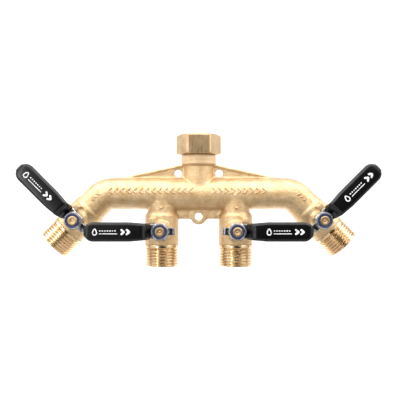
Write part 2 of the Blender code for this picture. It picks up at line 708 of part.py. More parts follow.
def build_valve(name, meshes, materials, valve, stem_frame, side):
    """One valve: seats and adapter stay with the casting, the rest turns about the stem axis."""
    flip = Matrix.Rotation(math.pi, 4, "X")
    place(f"{name}_upstream_seat", meshes["seat"], valve, materials["ptfe"])
    place(f"{name}_downstream_seat", meshes["seat"], valve, materials["ptfe"], flip)
    place(f"{name}_outlet_adapter", meshes["outlet_adapter"], valve, materials["turned_brass"])
    place(f"{name}_thrust_washer", meshes["thrust_washer"], stem_frame, materials["ptfe"])

    heading = Matrix.Rotation(0 if side > 0 else math.pi, 4, "Z")
    turning = frame(f"{name}_turning", stem_frame, heading)
    ball = place(f"{name}_ball", meshes["ball"], turning, materials["chrome"])
    slot_low = (-SLOT_W / 2, -BALL_R, BALL_R - SLOT_DEPTH)
    slot = block("slot", slot_low, (SLOT_W / 2, BALL_R, BALL_R + OVERLAP))
    combine(ball, "DIFFERENCE", [helper(f"{name}_slot", slot, turning)])

    stem = place(f"{name}_stem", meshes["stem"], turning, materials["turned_brass"])
    blade_half = SLOT_W / 2 - GAP
    blade_low = (-blade_half, -BLADE_W / 2, BALL_R - SLOT_DEPTH + GAP)
    blade = block("blade", blade_low, (blade_half, BLADE_W / 2, SHOULDER_BASE + OVERLAP))
    combine(stem, "UNION", [helper(f"{name}_blade", blade, turning)])
    flats = []
    for hand in (-1, 1):
        near, far = sorted((hand * STEM_FLATS / 2, hand * (STEM_R + OVERLAP)))
        low = (-STEM_R - OVERLAP, near, BOSS_TOP + GAP)
        flat = block("flat", low, (STEM_R + OVERLAP, far, STEM_TOP + OVERLAP))
        flats.append(helper(f"{name}_flat_{hand}", flat, turning))
    combine(stem, "DIFFERENCE", flats)
    place(f"{name}_stem_o_ring", meshes["stem_o_ring"], turning, materials["rubber"])

    lever = place(f"{name}_lever", meshes["lever"], turning, materials["plated_steel"])
    hole_low = LEVER_BASE - OVERLAP
    hole_high = LEVER_BASE + LEVER_T + OVERLAP
    hole = [(0, hole_low), (SCREW_END_R + GAP, hole_low), (SCREW_END_R + GAP, hole_high), (0, hole_high)]
    hole_obj = helper(f"{name}_lever_hole", spun("lever_hole", hole, sides=SMALL_SIDES), turning)
    half_flats = STEM_FLATS / 2 + GAP
    key_low = (-STEM_R - OVERLAP, -half_flats, hole_low - OVERLAP)
    key_high = (STEM_R + OVERLAP, half_flats, hole_high + OVERLAP)
    key = helper(f"{name}_lever_key", block("lever_key", key_low, key_high), turning)
    keyed = hole_obj.modifiers.new("Keyed", "BOOLEAN")
    keyed.operation = "INTERSECT"
    keyed.object = key
    combine(lever, "DIFFERENCE", [hole_obj])

    grip = place(f"{name}_grip", meshes["grip"], turning, materials["vinyl"])
    hollow = grip_shell("hollow", GRIP_START - OVERLAP / 2, GAP, 0)
    combine(grip, "DIFFERENCE", [helper(f"{name}_grip_hollow", hollow, turning)])

    nut = place(f"{name}_lock_nut", meshes["lock_nut"], turning, materials["plated_steel"])
    collar = [(0, LOCK_COLLAR_BASE - OVERLAP), (LOCK_COLLAR_R, LOCK_COLLAR_BASE - OVERLAP)]
    collar += [(LOCK_COLLAR_R, LOCK_TOP), (0, LOCK_TOP)]
    combine(nut, "UNION", [helper(f"{name}_lock_collar", spun("collar", collar, sides=SMALL_SIDES), turning)])
    insert_floor = LOCK_TOP - INSERT_T - 2 * GAP
    bore = [(0, LOCK_BASE - OVERLAP), (SCREW_END_R + RUNNING, LOCK_BASE - OVERLAP)]
    bore += [(SCREW_END_R + RUNNING, insert_floor), (LOCK_COLLAR_R - LOCK_RIM, insert_floor)]
    bore += [(LOCK_COLLAR_R - LOCK_RIM, LOCK_TOP + OVERLAP), (0, LOCK_TOP + OVERLAP)]
    combine(nut, "DIFFERENCE", [helper(f"{name}_lock_bore", spun("bore", bore, sides=SMALL_SIDES), turning)])
    place(f"{name}_nylon_insert", meshes["nylon_insert"], turning, materials["nylon"])


def main():
    """Builds the splitter."""
    clear_scene()
    materials = {
        "cast_brass": make_material("cast_brass", (0.68, 0.49, 0.25), 0.42, 1.0),
        "turned_brass": make_material("turned_brass", (0.74, 0.51, 0.22), 0.22, 1.0),
        "plated_steel": make_material("plated_steel", (0.70, 0.71, 0.72), 0.25, 1.0),
        "chrome": make_material("chrome", (0.80, 0.80, 0.80), 0.08, 1.0),
        "vinyl": make_material("vinyl", (0.020, 0.020, 0.022), 0.38, 0.0),
        "nylon": make_material("nylon", (0.03, 0.06, 0.35), 0.45, 0.0),
        "ptfe": make_material("ptfe", (0.85, 0.85, 0.83), 0.50, 0.0),
        "rubber": make_material("rubber", (0.02, 0.02, 0.02), 0.70, 0.0),
    }
    root = frame("manifold_frame", None, Matrix.Translation((0, 0, TUBE_Z)))
    meshes = build_valve_meshes()
    facing = Matrix.Rotation(math.pi / 2, 4, "X")
    valve_frames = {}
    for name, (side, tilt) in VALVES.items():
        top_x = side * (BEND_X if tilt else INNER_X)
        lean = Matrix.Translation((top_x, 0, 0)) @ Matrix.Rotation(tilt, 4, "Y")
        valve = frame(f"{name}_valve", root, lean @ Matrix.Translation((0, 0, -BALL_DISTANCE)))
        stem_frame = frame(f"{name}_stem_axis", valve, facing)
        valve_frames[name] = (valve, stem_frame)
        build_valve(name, meshes, materials, valve, stem_frame, side)
    build_manifold(materials, root, valve_frames)
    build_inlet(materials)


main()
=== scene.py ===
"""Four-way brass hose splitter: its surfaces, finishes, camera and light.

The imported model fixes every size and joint. Metres, +Z up, the levers face -Y, and the origin is
the centre of the inlet's hose washer. Sizes below are in millimetres, as on a maker's drawing.
"""

import math

import bpy
import numpy as np
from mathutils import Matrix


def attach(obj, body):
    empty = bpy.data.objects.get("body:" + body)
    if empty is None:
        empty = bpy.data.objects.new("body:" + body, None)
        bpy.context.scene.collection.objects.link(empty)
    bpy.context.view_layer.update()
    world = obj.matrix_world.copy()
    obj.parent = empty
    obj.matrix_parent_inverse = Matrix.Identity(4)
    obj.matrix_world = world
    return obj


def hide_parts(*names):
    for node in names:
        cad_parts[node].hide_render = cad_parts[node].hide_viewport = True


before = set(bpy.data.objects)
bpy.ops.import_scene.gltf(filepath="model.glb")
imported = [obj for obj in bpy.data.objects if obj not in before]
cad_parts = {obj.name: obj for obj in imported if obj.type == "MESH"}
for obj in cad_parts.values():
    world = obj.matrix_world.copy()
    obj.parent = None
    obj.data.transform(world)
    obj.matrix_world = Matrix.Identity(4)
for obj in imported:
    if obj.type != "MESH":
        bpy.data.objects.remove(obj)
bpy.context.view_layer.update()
MM = 0.001  # in metres

# Studio. A paper sweep, white behind and grey in front, in a white tent with a dark mouth at the
# lens. Soft lights stand high on each side, overhead and in front, and a narrow one left of the
# lens, so that round brass shows a pale top, a deeper front and warm dark edges.
bpy.context.scene.view_settings.view_transform = "Standard"
camera_data = bpy.data.cameras.new("camera")
camera_data.lens = 52.9
camera_data.clip_start = 0.01
camera = bpy.data.objects.new("camera", camera_data)
camera.location = (0.00104, -0.470, -0.0441)
camera.rotation_euler = (math.pi / 2, 0, 0)
bpy.context.scene.collection.objects.link(camera)
bpy.context.scene.camera = camera


def linear(hex_colour):
    """An sRGB hex colour as linear red, green, blue and alpha: the curve undone per channel."""
    channels = np.array([int(hex_colour[i : i + 2], 16) for i in (1, 3, 5)]) / 255
    curved = ((channels + 0.055) / 1.055) ** 2.4
    return (*np.where(channels <= 0.04045, channels / 12.92, curved), 1.0)


def add(tree, kind, settings=None, **sockets):
    """One node. settings are its properties; sockets are values, or outputs to link from."""
    made = tree.nodes.new(kind)
    for key, value in (settings or {}).items():
        setattr(made, key, value)
    for key, value in sockets.items():
        name = key.replace("_", " ").strip()
        socket = made.inputs[int(name)] if name.isdigit() else made.inputs[name]
        if isinstance(value, bpy.types.NodeSocket):
            tree.links.new(value, socket)
        else:
            socket.default_value = value
    return made


def finish(name, **sockets):
    """A material whose Principled shader has these constants, and its node tree and shader."""
    made = bpy.data.materials.new(name)
    made.use_nodes = True
    shader = made.node_tree.nodes["Principled BSDF"]
    for key, value in sockets.items():
        shader.inputs[key.replace("_", " ")].default_value = value
    return made, made.node_tree, shader


def noise(tree, scale, detail, roughness=0.5, place=None):
    """A noise's value, over the object's own space unless another place is given."""
    if place is None:
        place = add(tree, "ShaderNodeTexCoord").outputs["Object"]
    sizes = {"Scale": scale, "Detail": detail, "Roughness": roughness}
    return add(tree, "ShaderNodeTexNoise", Vector=place, **sizes).outputs["Fac"]


def toned(tree, shader, pattern, dark, pale, low=0.0, high=1.0):
    """Base colour from a pattern: dark up to low, pale from high. Returns the colour."""
    tone = add(tree, "ShaderNodeValToRGB", Fac=pattern)
    ends = tone.color_ramp.elements
    ends[0].color, ends[1].color = linear(dark), linear(pale)
    ends[0].position, ends[1].position = low, high
    tree.links.new(tone.outputs["Color"], shader.inputs["Base Color"])
    return tone.outputs["Color"]


def meshed(name, points, quads, triangles=None, uv=None):
    """An object from whole arrays: points in millimetres, faces as rows of point numbers."""
    triangles = np.zeros((0, 3), int) if triangles is None else triangles
    corners = np.concatenate([quads.ravel(), triangles.ravel()])
    sizes = np.concatenate([np.full(len(quads), 4), np.full(len(triangles), 3)])
    mesh = bpy.data.meshes.new(name)
    mesh.vertices.add(len(points))
    mesh.vertices.foreach_set("co", (points * MM).astype(np.float32).ravel())
    mesh.loops.add(len(corners))
    mesh.loops.foreach_set("vertex_index", corners.astype(np.int32))
    mesh.polygons.add(len(sizes))
    starts = np.concatenate([[0], np.cumsum(sizes)[:-1]])
    mesh.polygons.foreach_set("loop_start", starts.astype(np.int32))
    if uv is not None:
        layer = mesh.uv_layers.new(name="UVMap")
        layer.data.foreach_set("uv", uv.astype(np.float32).ravel())
    mesh.update(calc_edges=True)
    mesh.validate()
    mesh.shade_smooth()
    made = bpy.data.objects.new(name, mesh)
    bpy.context.scene.collection.objects.link(made)
    return made


# The sweep is a profile of floor, quarter-round and wall carried along X. Its front edge is just
# behind the lens.
across = np.linspace(-3000, 3000, 9)
bend = np.linspace(0, math.pi / 2, 17)
sweep_y = np.concatenate([[-560], 1100 + 500 * np.sin(bend), [1600]])
sweep_z = np.concatenate([[-260], 240 - 500 * np.cos(bend), [3200]])
sweep_points = np.stack(np.broadcast_arrays(across, sweep_y[:, None], sweep_z[:, None]), -1)
number = np.arange(sweep_points[..., 0].size).reshape(sweep_points.shape[:2])
sweep_quads = np.stack([number[:-1, :-1], number[:-1, 1:], number[1:, 1:], number[1:, :-1]], -1)
sweep = meshed("paper_sweep", sweep_points.reshape(-1, 3), sweep_quads.reshape(-1, 4))
paper, paper_tree, paper_shader = finish("white_paper", Roughness=0.9)
paper_place = add(paper_tree, "ShaderNodeTexCoord").outputs["Object"]
paper_grain = noise(paper_tree, 3.0, 2.0, place=paper_place)
paper_split = add(paper_tree, "ShaderNodeSeparateXYZ", _0=paper_place)
paper_back = add(
    paper_tree, "ShaderNodeMapRange", {"interpolation_type": "SMOOTHSTEP"},
    Value=paper_split.outputs["Y"], From_Min=0.04, From_Max=0.17,
)
paper_mixed = add(
    paper_tree, "ShaderNodeMath", {"operation": "MULTIPLY_ADD"},
    _0=paper_grain, _1=0.02, _2=paper_back.outputs[0],
)
toned(paper_tree, paper_shader, paper_mixed.outputs[0], "#9b9996", "#ffffff")
# Painted glow: the back of the paper emits a little white light of its own, up to 0.12, so that it
# reads pure white and brightens the brass from behind.
paper_shader.inputs["Emission Color"].default_value = (1, 1, 1, 1)
painted_paper_glow = add(paper_tree, "ShaderNodeMapRange", Value=paper_back.outputs[0], To_Max=0.12)
paper_tree.links.new(painted_paper_glow.outputs[0], paper_shader.inputs["Emission Strength"])
sweep.data.materials.append(paper)

# The tent: white all round, with a dark mouth where the lens looks in, a little to the right. The
# lens itself sees only white beyond the paper.
MOUTH = (0.16, -0.982, -0.10)
world = bpy.data.worlds.new("studio")
bpy.context.scene.world = world
world.use_nodes = True
background = world.node_tree.nodes["Background"]
outward = add(world.node_tree, "ShaderNodeTexCoord").outputs["Generated"]
to_mouth = add(
    world.node_tree, "ShaderNodeVectorMath", {"operation": "DOT_PRODUCT"}, _0=outward, _1=MOUTH
)
tent = add(world.node_tree, "ShaderNodeValToRGB", Fac=to_mouth.outputs["Value"])
tent.color_ramp.elements[0].color = (1.0, 1.0, 1.0, 1)
tent.color_ramp.elements[0].position = 0.84
tent.color_ramp.elements[1].color = (0.04, 0.04, 0.04, 1)
for spot, level in ((0.90, 0.60), (0.945, 0.14), (0.975, 0.05)):
    tent.color_ramp.elements.new(spot).color = (level, level, level, 1)
seen = add(world.node_tree, "ShaderNodeLightPath").outputs["Is Camera Ray"]
wall = add(
    world.node_tree, "ShaderNodeMix", {"data_type": "RGBA"},
    _0=seen, _6=tent.outputs["Color"], _7=(1, 1, 1, 1),
)
world.node_tree.links.new(wall.outputs[2], background.inputs["Color"])
background.inputs["Strength"].default_value = 1.0


LIT_POINT = (0, 0, -0.05)  # the splitter's middle


def softbox(name, place, width, height, power):
    """A rectangular soft light at place, turned to face LIT_POINT. Metres and watts."""
    light = bpy.data.lights.new(name, "AREA")
    light.shape = "RECTANGLE"
    light.size = width
    light.size_y = height
    light.energy = power
    made = bpy.data.objects.new(name, light)
    made.location = place
    away = np.subtract(place, LIT_POINT)
    flat = math.hypot(away[0], away[1])
    made.rotation_euler = (math.atan2(flat, away[2]), 0, math.atan2(away[0], -away[1]))
    bpy.context.scene.collection.objects.link(made)


softbox("left_softbox", (-0.72, -0.15, 0.48), 0.5, 0.8, 4.0)
softbox("right_softbox", (0.72, -0.15, 0.48), 0.5, 0.8, 4.0)
softbox("top_softbox", (0, -0.22, 0.75), 1.5, 0.5, 6.6)
softbox("front_softbox", (0, -0.85, 0.42), 1.2, 0.3, 3.6)
softbox("lens_strip", (-0.45, -0.75, 0.02), 0.06, 0.5, 0.6)


# The casting: one sand-cast brass body, blasted, with a tube that bends down 45 degrees into an
# arm at each end, four branches that widen into valve housings, stem bosses, stop lugs, a neck,
# and webs with screw holes. Its bores are machined. It is solved as a distance field and meshed.
TUBE_Z = -39.1
TUBE_R = 12.6
GALLERY_R = 8.5
BEND_X = 74.558
BEND_R = 14.0
TILT = math.pi / 4
INNER_X = 29.4
BALL_DROP = 29.2
BRANCH_R = 11.3
BRANCH_DEPTH = 12.55  # half the branch from front to back
HOUSING_R = 13.4
HOUSING_END = 11.1
HOUSING_TOP = 12.4
BOSS_R = 7.5
BOSS_TOP = 16.6
NECK_R = 11.4
NECK_TOP = 22.3
WEB_HALF_T = 1.6
WEB_TOP = (13.9, 22.9)  # x and height where a web's edge meets the collar
WEB_RUN = 49.6
WEB_FALL = 10.7
WEB_END = 66.0
SCREW_R = 3.0
UPPER_SCREW = (16.4, 16.1)
LOWER_SCREW = (0.0, -18.2)
STEM_BORE_R = 4.45
SHOULDER_BORE_R = 6.2
WATERWAY_R = 6.3
INLET_R = 6.8
POCKET_R = 9.6  # round the ball and its seats
THREADED_BORE_R = 11.7  # for the outlet adapter


def joined(a, b, blend):
    """Smooth union: the lesser distance, pulled down by a quadratic where the two are within
    blend of each other, which leaves a cast fillet."""
    near = np.maximum(blend - np.abs(a - b), 0) / blend
    return np.minimum(a, b) - near * near * blend / 4


def tube_path(x, z):
    """Distance in the XZ plane to the tube's centre line: a level line, an arc of BEND_R that
    turns it 45 degrees, and a straight arm to the housing."""
    tangent = BEND_R * math.tan(TILT / 2)
    level = np.hypot(np.maximum(x - (BEND_X - tangent), 0), z)
    from_x = x - (BEND_X - tangent)
    from_z = z + BEND_R
    turn = np.arctan2(from_x, from_z)
    arc = np.where(
        (turn > 0) & (turn < TILT), np.abs(np.hypot(from_x, from_z) - BEND_R), 1e3
    )
    along = ((x - BEND_X) - z) / math.sqrt(2)
    beside = ((x - BEND_X) + z) / math.sqrt(2)
    arm = np.hypot(np.maximum(tangent - along, 0), beside)
    arm = np.hypot(np.maximum(along - (BALL_DROP - 10.6), 0), arm)
    return np.minimum(np.minimum(level, arc), arm)


def rod(radial, axial, radius, low, high, edge):
    """A cylinder with edges rounded to edge: the distance to a rounded box in its half section."""
    out_r = radial - (radius - edge)
    out_z = np.abs(axial - (low + high) / 2) - ((high - low) / 2 - edge)
    outside = np.hypot(np.maximum(out_r, 0), np.maximum(out_z, 0))
    return outside + np.minimum(np.maximum(out_r, out_z), 0) - edge


def slab(offsets, halves, edge):
    """A block with rounded edges: offsets from its middle less its half sizes, as a distance."""
    out = [np.abs(o) - (h - edge) for o, h in zip(offsets, halves)]
    outside = np.sqrt(sum(np.maximum(o, 0) ** 2 for o in out))
    return outside + np.minimum(np.maximum(np.maximum(out[0], out[1]), out[2]), 0) - edge


def valve_axes(x, z, from_x, tilt):
    """x and z in a ball's own axes: from a branch's foot on the tube, turned, and shifted."""
    local_x = (x - from_x) * math.cos(tilt) - z * math.sin(tilt)
    local_z = (x - from_x) * math.sin(tilt) + z * math.cos(tilt) + BALL_DROP
    return local_x, local_z


def casting(x, y, z):
    """Signed distance to the casting, in mm from the tube's axis. Left and right are alike, so x
    is folded. Raised shapes are joined with fillets, then bores are cut with crisp edges."""
    x = np.abs(x)
    around_tube = np.hypot(tube_path(x, z), y)
    body = around_tube - TUBE_R

    # neck, and webs from it to the tube: a thin plate with a bead along its sloping edge
    radial = np.hypot(x, y)
    body = joined(body, rod(radial, z, NECK_R, -2, NECK_TOP, 0.2), 0.9)
    slope = math.hypot(WEB_RUN, WEB_FALL)
    above = ((z - WEB_TOP[1]) * WEB_RUN + (x - WEB_TOP[0]) * WEB_FALL) / slope
    web = np.maximum(np.maximum(np.abs(y) - WEB_HALF_T, above), -z)
    web = np.maximum(web, x - WEB_END)
    bead = np.hypot(np.maximum(np.abs(y) - 1.4, 0), above + 0.8) - 0.9
    bead = np.maximum(np.maximum(bead, x - WEB_END), 9.0 - x)
    body = joined(body, joined(web, bead, 0.8), 1.4)

    # lower web with the screw eye
    low_web = np.maximum(np.maximum(np.abs(y) - WEB_HALF_T, -20.0 - z), np.maximum(z, x - INNER_X))
    eye = rod(np.hypot(x, z - LOWER_SCREW[1]), y, SCREW_R + 3.4, -2.0, 2.0, 0.4)
    body = joined(body, joined(low_web, eye, 1.6), 2.0)

    # branches, housings, stem bosses and stop lugs, in each ball's own axes
    for from_x, tilt in ((INNER_X, 0.0), (BEND_X, -TILT)):
        local_x, local_z = valve_axes(x, z, from_x, tilt)
        ring = np.hypot(local_x, y)
        shoulder = (ring - HOUSING_R + local_z - HOUSING_TOP) / math.sqrt(2)
        housing = -joined(HOUSING_R - ring, -shoulder, 0.7)
        housing = np.maximum(np.maximum(housing, local_z - 16.0), -HOUSING_END - local_z)
        if tilt == 0:
            oval = BRANCH_R * np.hypot(local_x / BRANCH_R, y / BRANCH_DEPTH)
            branch = rod(oval, local_z, BRANCH_R, 0, BALL_DROP, 0.5)
            housing = joined(housing, branch, 1.2)
        boss = rod(np.hypot(local_x, local_z), y, BOSS_R, -BOSS_TOP, 4.0, 0.5)
        lug = slab((local_x - 6.5, y + 13.5, local_z - 8.35), (2.35, 5.1, 2.35), 0.8)
        housing = joined(joined(housing, boss, 2.4), lug, 1.0)
        body = joined(body, housing, 1.0)

    # machined bores
    for from_x, tilt in ((INNER_X, 0.0), (BEND_X, -TILT)):
        local_x, local_z = valve_axes(x, z, from_x, tilt)
        ring = np.hypot(local_x, y)
        waterway = np.maximum(ring - WATERWAY_R, np.maximum(local_z - BALL_DROP, 9.0 - local_z))
        pocket = np.maximum(ring - POCKET_R, np.maximum(local_z - 9.3, -7.0 - local_z))
        mouth = np.maximum(ring - THREADED_BORE_R, local_z + 6.35)
        stem_ring = np.hypot(local_x, local_z)
        stem_bore = np.maximum(stem_ring - STEM_BORE_R, y)
        shoulder = np.maximum(stem_ring - SHOULDER_BORE_R, np.maximum(-12.8 - y, y))
        for cut in (waterway, pocket, mouth, stem_bore, shoulder):
            body = np.maximum(body, -cut)
    body = np.maximum(body, GALLERY_R - around_tube)
    body = np.maximum(body, -np.maximum(radial - INLET_R, -z))
    for hole_x, hole_z in (UPPER_SCREW, LOWER_SCREW):
        body = np.maximum(body, SCREW_R - np.hypot(x - hole_x, z - hole_z))
    return body


def netted(field, low, high, step):
    """Surface net of a field: one point in each cell that the surface crosses, at the mean of
    the crossings on the cell's edges, and one quad round each crossed edge."""
    axes = [np.arange(a, b + step, step) for a, b in zip(low, high)]
    grid = np.meshgrid(*axes, indexing="ij", sparse=True)
    values = field(*grid).astype(np.float32)
    inside = values < 0
    shape = tuple(n - 1 for n in values.shape)
    total = np.zeros((*shape, 3), np.float32)
    count = np.zeros(shape, np.float32)
    crossings = []
    for axis in range(3):
        lower = [slice(None)] * 3
        upper = [slice(None)] * 3
        lower[axis] = slice(0, -1)
        upper[axis] = slice(1, None)
        first, second = values[tuple(lower)], values[tuple(upper)]
        crossed = inside[tuple(lower)] != inside[tuple(upper)]
        share = np.where(crossed, first / np.where(crossed, first - second, 1), 0)
        place = np.moveaxis(np.indices(first.shape, np.float32), 0, -1)
        place[..., axis] += share
        place *= crossed[..., None]
        others = [k for k in range(3) if k != axis]
        for step_a in (0, 1):
            for step_b in (0, 1):
                pick = [slice(None)] * 3
                pick[others[0]] = slice(step_a, step_a + shape[others[0]])
                pick[others[1]] = slice(step_b, step_b + shape[others[1]])
                total += place[tuple(pick)]
                count += crossed[tuple(pick)]
        crossings.append((crossed, inside[tuple(lower)]))
    active = count > 0
    number = np.full(shape, -1, np.int64)
    number[active] = np.arange(active.sum())
    points = total[active] / count[active][:, None] * step + np.array(low)
    quads = []
    for axis, (crossed, starts_inside) in enumerate(crossings):
        a, b = [(1, 2), (2, 0), (0, 1)][axis]
        spots = np.argwhere(crossed)
        inner = (spots[:, a] > 0) & (spots[:, b] > 0)
        inner &= (spots[:, a] < shape[a]) & (spots[:, b] < shape[b])
        spots = spots[inner]
        corner = []
        for back_a, back_b in ((1, 1), (0, 1), (0, 0), (1, 0)):
            cell = spots.copy()
            cell[:, a] -= back_a
            cell[:, b] -= back_b
            corner.append(number[cell[:, 0], cell[:, 1], cell[:, 2]])
        quad = np.stack(corner, -1)
        outward = starts_inside[spots[:, 0], spots[:, 1], spots[:, 2]]
        quads.append(np.where(outward[:, None], quad, quad[:, ::-1]))
    return points, np.concatenate(quads)


def settled(points, field, rounds=3):
    """Points moved onto the field's zero: each steps down its slope by its distance."""
    reach = 0.02
    for _ in range(rounds):
        x, y, z = points.T
        here = field(x, y, z)
        slope = np.stack(
            [
                field(x + reach, y, z) - field(x - reach, y, z),
                field(x, y + reach, z) - field(x, y - reach, z),
                field(x, y, z + reach) - field(x, y, z - reach),
            ],
            -1,
        ) / (2 * reach)
        size = np.maximum((slope**2).sum(-1), 0.25)
        move = slope * (here / size)[:, None]
        limit = np.minimum(1, 0.25 / np.maximum(np.linalg.norm(move, axis=1), 1e-9))
        points = points - move * limit[:, None]
    return points


def thinned(obj, most):
    """The object with its flattest triangles merged until at most this many are left."""
    obj.data.calc_loop_triangles()
    count = len(obj.data.loop_triangles)
    if count > most:
        modifier = obj.modifiers.new("thin", "DECIMATE")
        modifier.ratio = most / count
        shown = obj.evaluated_get(bpy.context.evaluated_depsgraph_get())
        mesh = bpy.data.meshes.new_from_object(shown)
        obj.modifiers.clear()
        obj.data = mesh
        mesh.shade_smooth()


cast_points, cast_quads = netted(casting, (-114.6, -20.1, -42.9), (114.6, 14.7, 24.0), 0.6)
manifold = meshed("cast_manifold", settled(cast_points, casting), cast_quads)
thinned(manifold, 190000)
cast_co = np.empty(len(manifold.data.vertices) * 3, np.float32)
manifold.data.vertices.foreach_get("co", cast_co)
cast_co = settled(cast_co.reshape(-1, 3).astype(float) * 1000, casting, 2)
cast_co[:, 2] += TUBE_Z
manifold.data.vertices.foreach_set("co", (cast_co * MM).astype(np.float32).ravel())
manifold.data.update()
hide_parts("manifold_body")
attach(manifold, "manifold")


def roughened(tree, shader, pattern, low, high):
    """Roughness from a pattern, from low to high."""
    rough = add(tree, "ShaderNodeMapRange", Value=pattern, To_Min=low, To_Max=high)
    tree.links.new(rough.outputs[0], shader.inputs["Roughness"])


def bumped(tree, shader, *layers):
    """Bumps, each over the last: a pattern, its strength, its depth in metres and whether it
    sinks."""
    under = {}
    for pattern, strength, depth, sinks in layers:
        sizes = {"Strength": strength, "Distance": depth, "Height": pattern}
        made = add(tree, "ShaderNodeBump", {"invert": sinks}, **sizes, **under)
        under = {"Normal": made.outputs["Normal"]}
    tree.links.new(made.outputs["Normal"], shader.inputs["Normal"])


# Sand-cast yellow brass, shot-blasted and lightly oiled: pale gold, satin, finely pitted by the
# sand's 0.3 mm grain, with broader unevenness that breaks up its highlights. The oil adds a paler
# sheen where light strikes it. The grain is drawn at five times its size.
cast_brass, tree, shader = finish(
    "shot_blasted_cast_brass", Metallic=1.0, Coat_Weight=0.6, Coat_Roughness=0.26, Coat_IOR=1.7
)
here = add(tree, "ShaderNodeTexCoord").outputs["Object"]
patches = noise(tree, 140.0, 5.0, 0.7, here)
grain = noise(tree, 620.0, 4.0, 0.7, here)
pits = add(tree, "ShaderNodeTexVoronoi", Vector=here, Scale=900.0).outputs["Distance"]
tone = toned(tree, shader, patches, "#d9b078", "#f6daac", 0.3, 0.7)
multiply = {"data_type": "RGBA", "blend_type": "MULTIPLY"}
speck = add(tree, "ShaderNodeMix", multiply, _0=0.34, _6=tone, _7=grain)
tree.links.new(speck.outputs[2], shader.inputs["Base Color"])
roughened(tree, shader, grain, 0.38, 0.56)
layers = ((patches, 0.35, 0.0012, False), (grain, 0.95, 0.0006, False), (pits, 0.12, 0.0002, True))
bumped(tree, shader, *layers)
manifold.data.materials.clear()
manifold.data.materials.append(cast_brass)


# Casting marks: half-round beads that stand on the casting's skin, left by grooves cut in the
# mould. Chevrons along the tube and the arms point down the stream; each inner branch has a dot
# and a chevron.
def on_tube(x, z):
    """Points at x and height z on the front of the level tube, and the skin's normals there."""
    y = -np.sqrt(TUBE_R**2 - z**2)
    normal = np.stack([0 * x, y, z], -1) / TUBE_R
    return np.stack([x, y, z], -1), normal


def tilted(points, angle):
    """Points turned about Y by the rotation's formula, from +Z towards +X."""
    x, y, z = points.T
    cos, sin = math.cos(angle), math.sin(angle)
    return np.stack([x * cos + z * sin, y, z * cos - x * sin], -1)


def on_arm(side):
    """The same on an arm: x is the distance from the bend, and z is up across the arm."""

    def placed(x, z):
        point, normal = (tilted(level, TILT) for level in on_tube(x, z))
        point[:, 0] += BEND_X
        return point * np.array([side, 1, 1]), normal * np.array([side, 1, 1])

    return placed


def on_inner_branch(side):
    """The same on an inner branch, where x is measured across it and z is down the tube's axis."""

    def placed(x, z):
        y = -BRANCH_DEPTH * np.sqrt(1 - (x / BRANCH_R) ** 2)
        normal = np.stack([x / BRANCH_R**2, y / BRANCH_DEPTH**2, 0 * z], -1)
        normal /= np.linalg.norm(normal, axis=1, keepdims=True)
        return np.stack([x + side * INNER_X, y, z], -1), normal

    return placed


def closed_tube(rows, cols):
    """Faces of a tube of rows rings with cols points each: quads between the rings, and a fan at
    each end to one of the two points that follow the rings."""
    number = np.arange(rows * cols).reshape(rows, cols)
    beyond = np.roll(number, -1, axis=1)
    quads = np.stack([number[:-1], beyond[:-1], beyond[1:], number[1:]], -1).reshape(-1, 4)
    first = np.stack([np.full(cols, number.size), beyond[0], number[0]], -1)
    last = np.stack([np.full(cols, number.size + 1), number[-1], beyond[-1]], -1)
    return quads, np.concatenate([first, last])


def bead(corners, placed, radius, rise, sides=8):
    """A bead along straight strokes between corners, laid on a surface: an ellipse radius wide
    and rise high at each station, shrunk to a point at both ends by a circle's outline."""
    corners = np.array(corners, float)
    length = np.concatenate([[0], np.cumsum(np.linalg.norm(np.diff(corners, axis=0), axis=1))])
    total = length[-1]
    ramp = radius * (1 - np.cos(np.linspace(0, math.pi / 2, 4)))
    body = np.linspace(radius, total - radius, max(int(total / 0.45), 3))[1:-1]
    along = np.concatenate([ramp, body, total - ramp[::-1]])
    short = np.maximum(radius - np.minimum(along, total - along), 0)
    size = np.sqrt(np.maximum(radius**2 - short**2, 0)) / radius
    centre, normal = placed(
        np.interp(along, length, corners[:, 0]), np.interp(along, length, corners[:, 1])
    )
    tangent = np.gradient(centre, axis=0)
    aside = np.cross(tangent, normal)
    aside /= np.linalg.norm(aside, axis=1, keepdims=True)
    turn = np.arange(sides) / sides * 2 * math.pi
    size = np.maximum(size, 0.02)[:, None, None]
    ring = size * (
        radius * np.cos(turn)[None, :, None] * aside[:, None]
        + rise * np.sin(turn)[None, :, None] * normal[:, None]
    )
    points = (centre[:, None] + ring).reshape(-1, 3)
    return np.concatenate([points, centre[[0, -1]]]), *closed_tube(len(along), sides)


def beaded(name, beads):
    """One object from a list of beads."""
    start, points, quads, triangles = 0, [], [], []
    for flat, four, three in beads:
        points.append(flat)
        quads.append(four + start)
        triangles.append(three + start)
        start += len(flat)
    return meshed(name, np.concatenate(points), np.concatenate(quads), np.concatenate(triangles))


MARK = {"radius": 0.75, "rise": 1.2}
MARK_Z = 2.3
marks = []
for first_mark, last_mark, count, side in ((-69.0, -6.0, 14, -1), (12.0, 51.0, 9, 1)):
    for x in np.linspace(first_mark, last_mark, count):
        tail = x - 1.4 * side
        chevron = [(tail, MARK_Z + 2.5), (x + 1.2 * side, MARK_Z), (tail, MARK_Z - 2.5)]
        marks.append(bead(chevron, on_tube, **MARK))
for side in (-1, 1):
    for x in (2.0, 5.0, 8.0):
        marks.append(bead([(x, 4.6), (x + 1.5, 2.9), (x, 1.2)], on_arm(side), **MARK))
    on_branch_front = on_inner_branch(side)
    marks.append(bead([(-1.5, -9.9), (0.0, -11.7), (1.5, -9.9)], on_branch_front, **MARK))
    marks.append(bead([(-0.35, -6.8), (0.35, -6.8)], on_branch_front, 0.9, 0.8))
marks = [(flat + np.array([0, 0, TUBE_Z]), quads, ends) for flat, quads, ends in marks]
casting_marks = beaded("casting_marks", marks)
casting_marks.data.materials.append(cast_brass)
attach(casting_marks, "manifold")


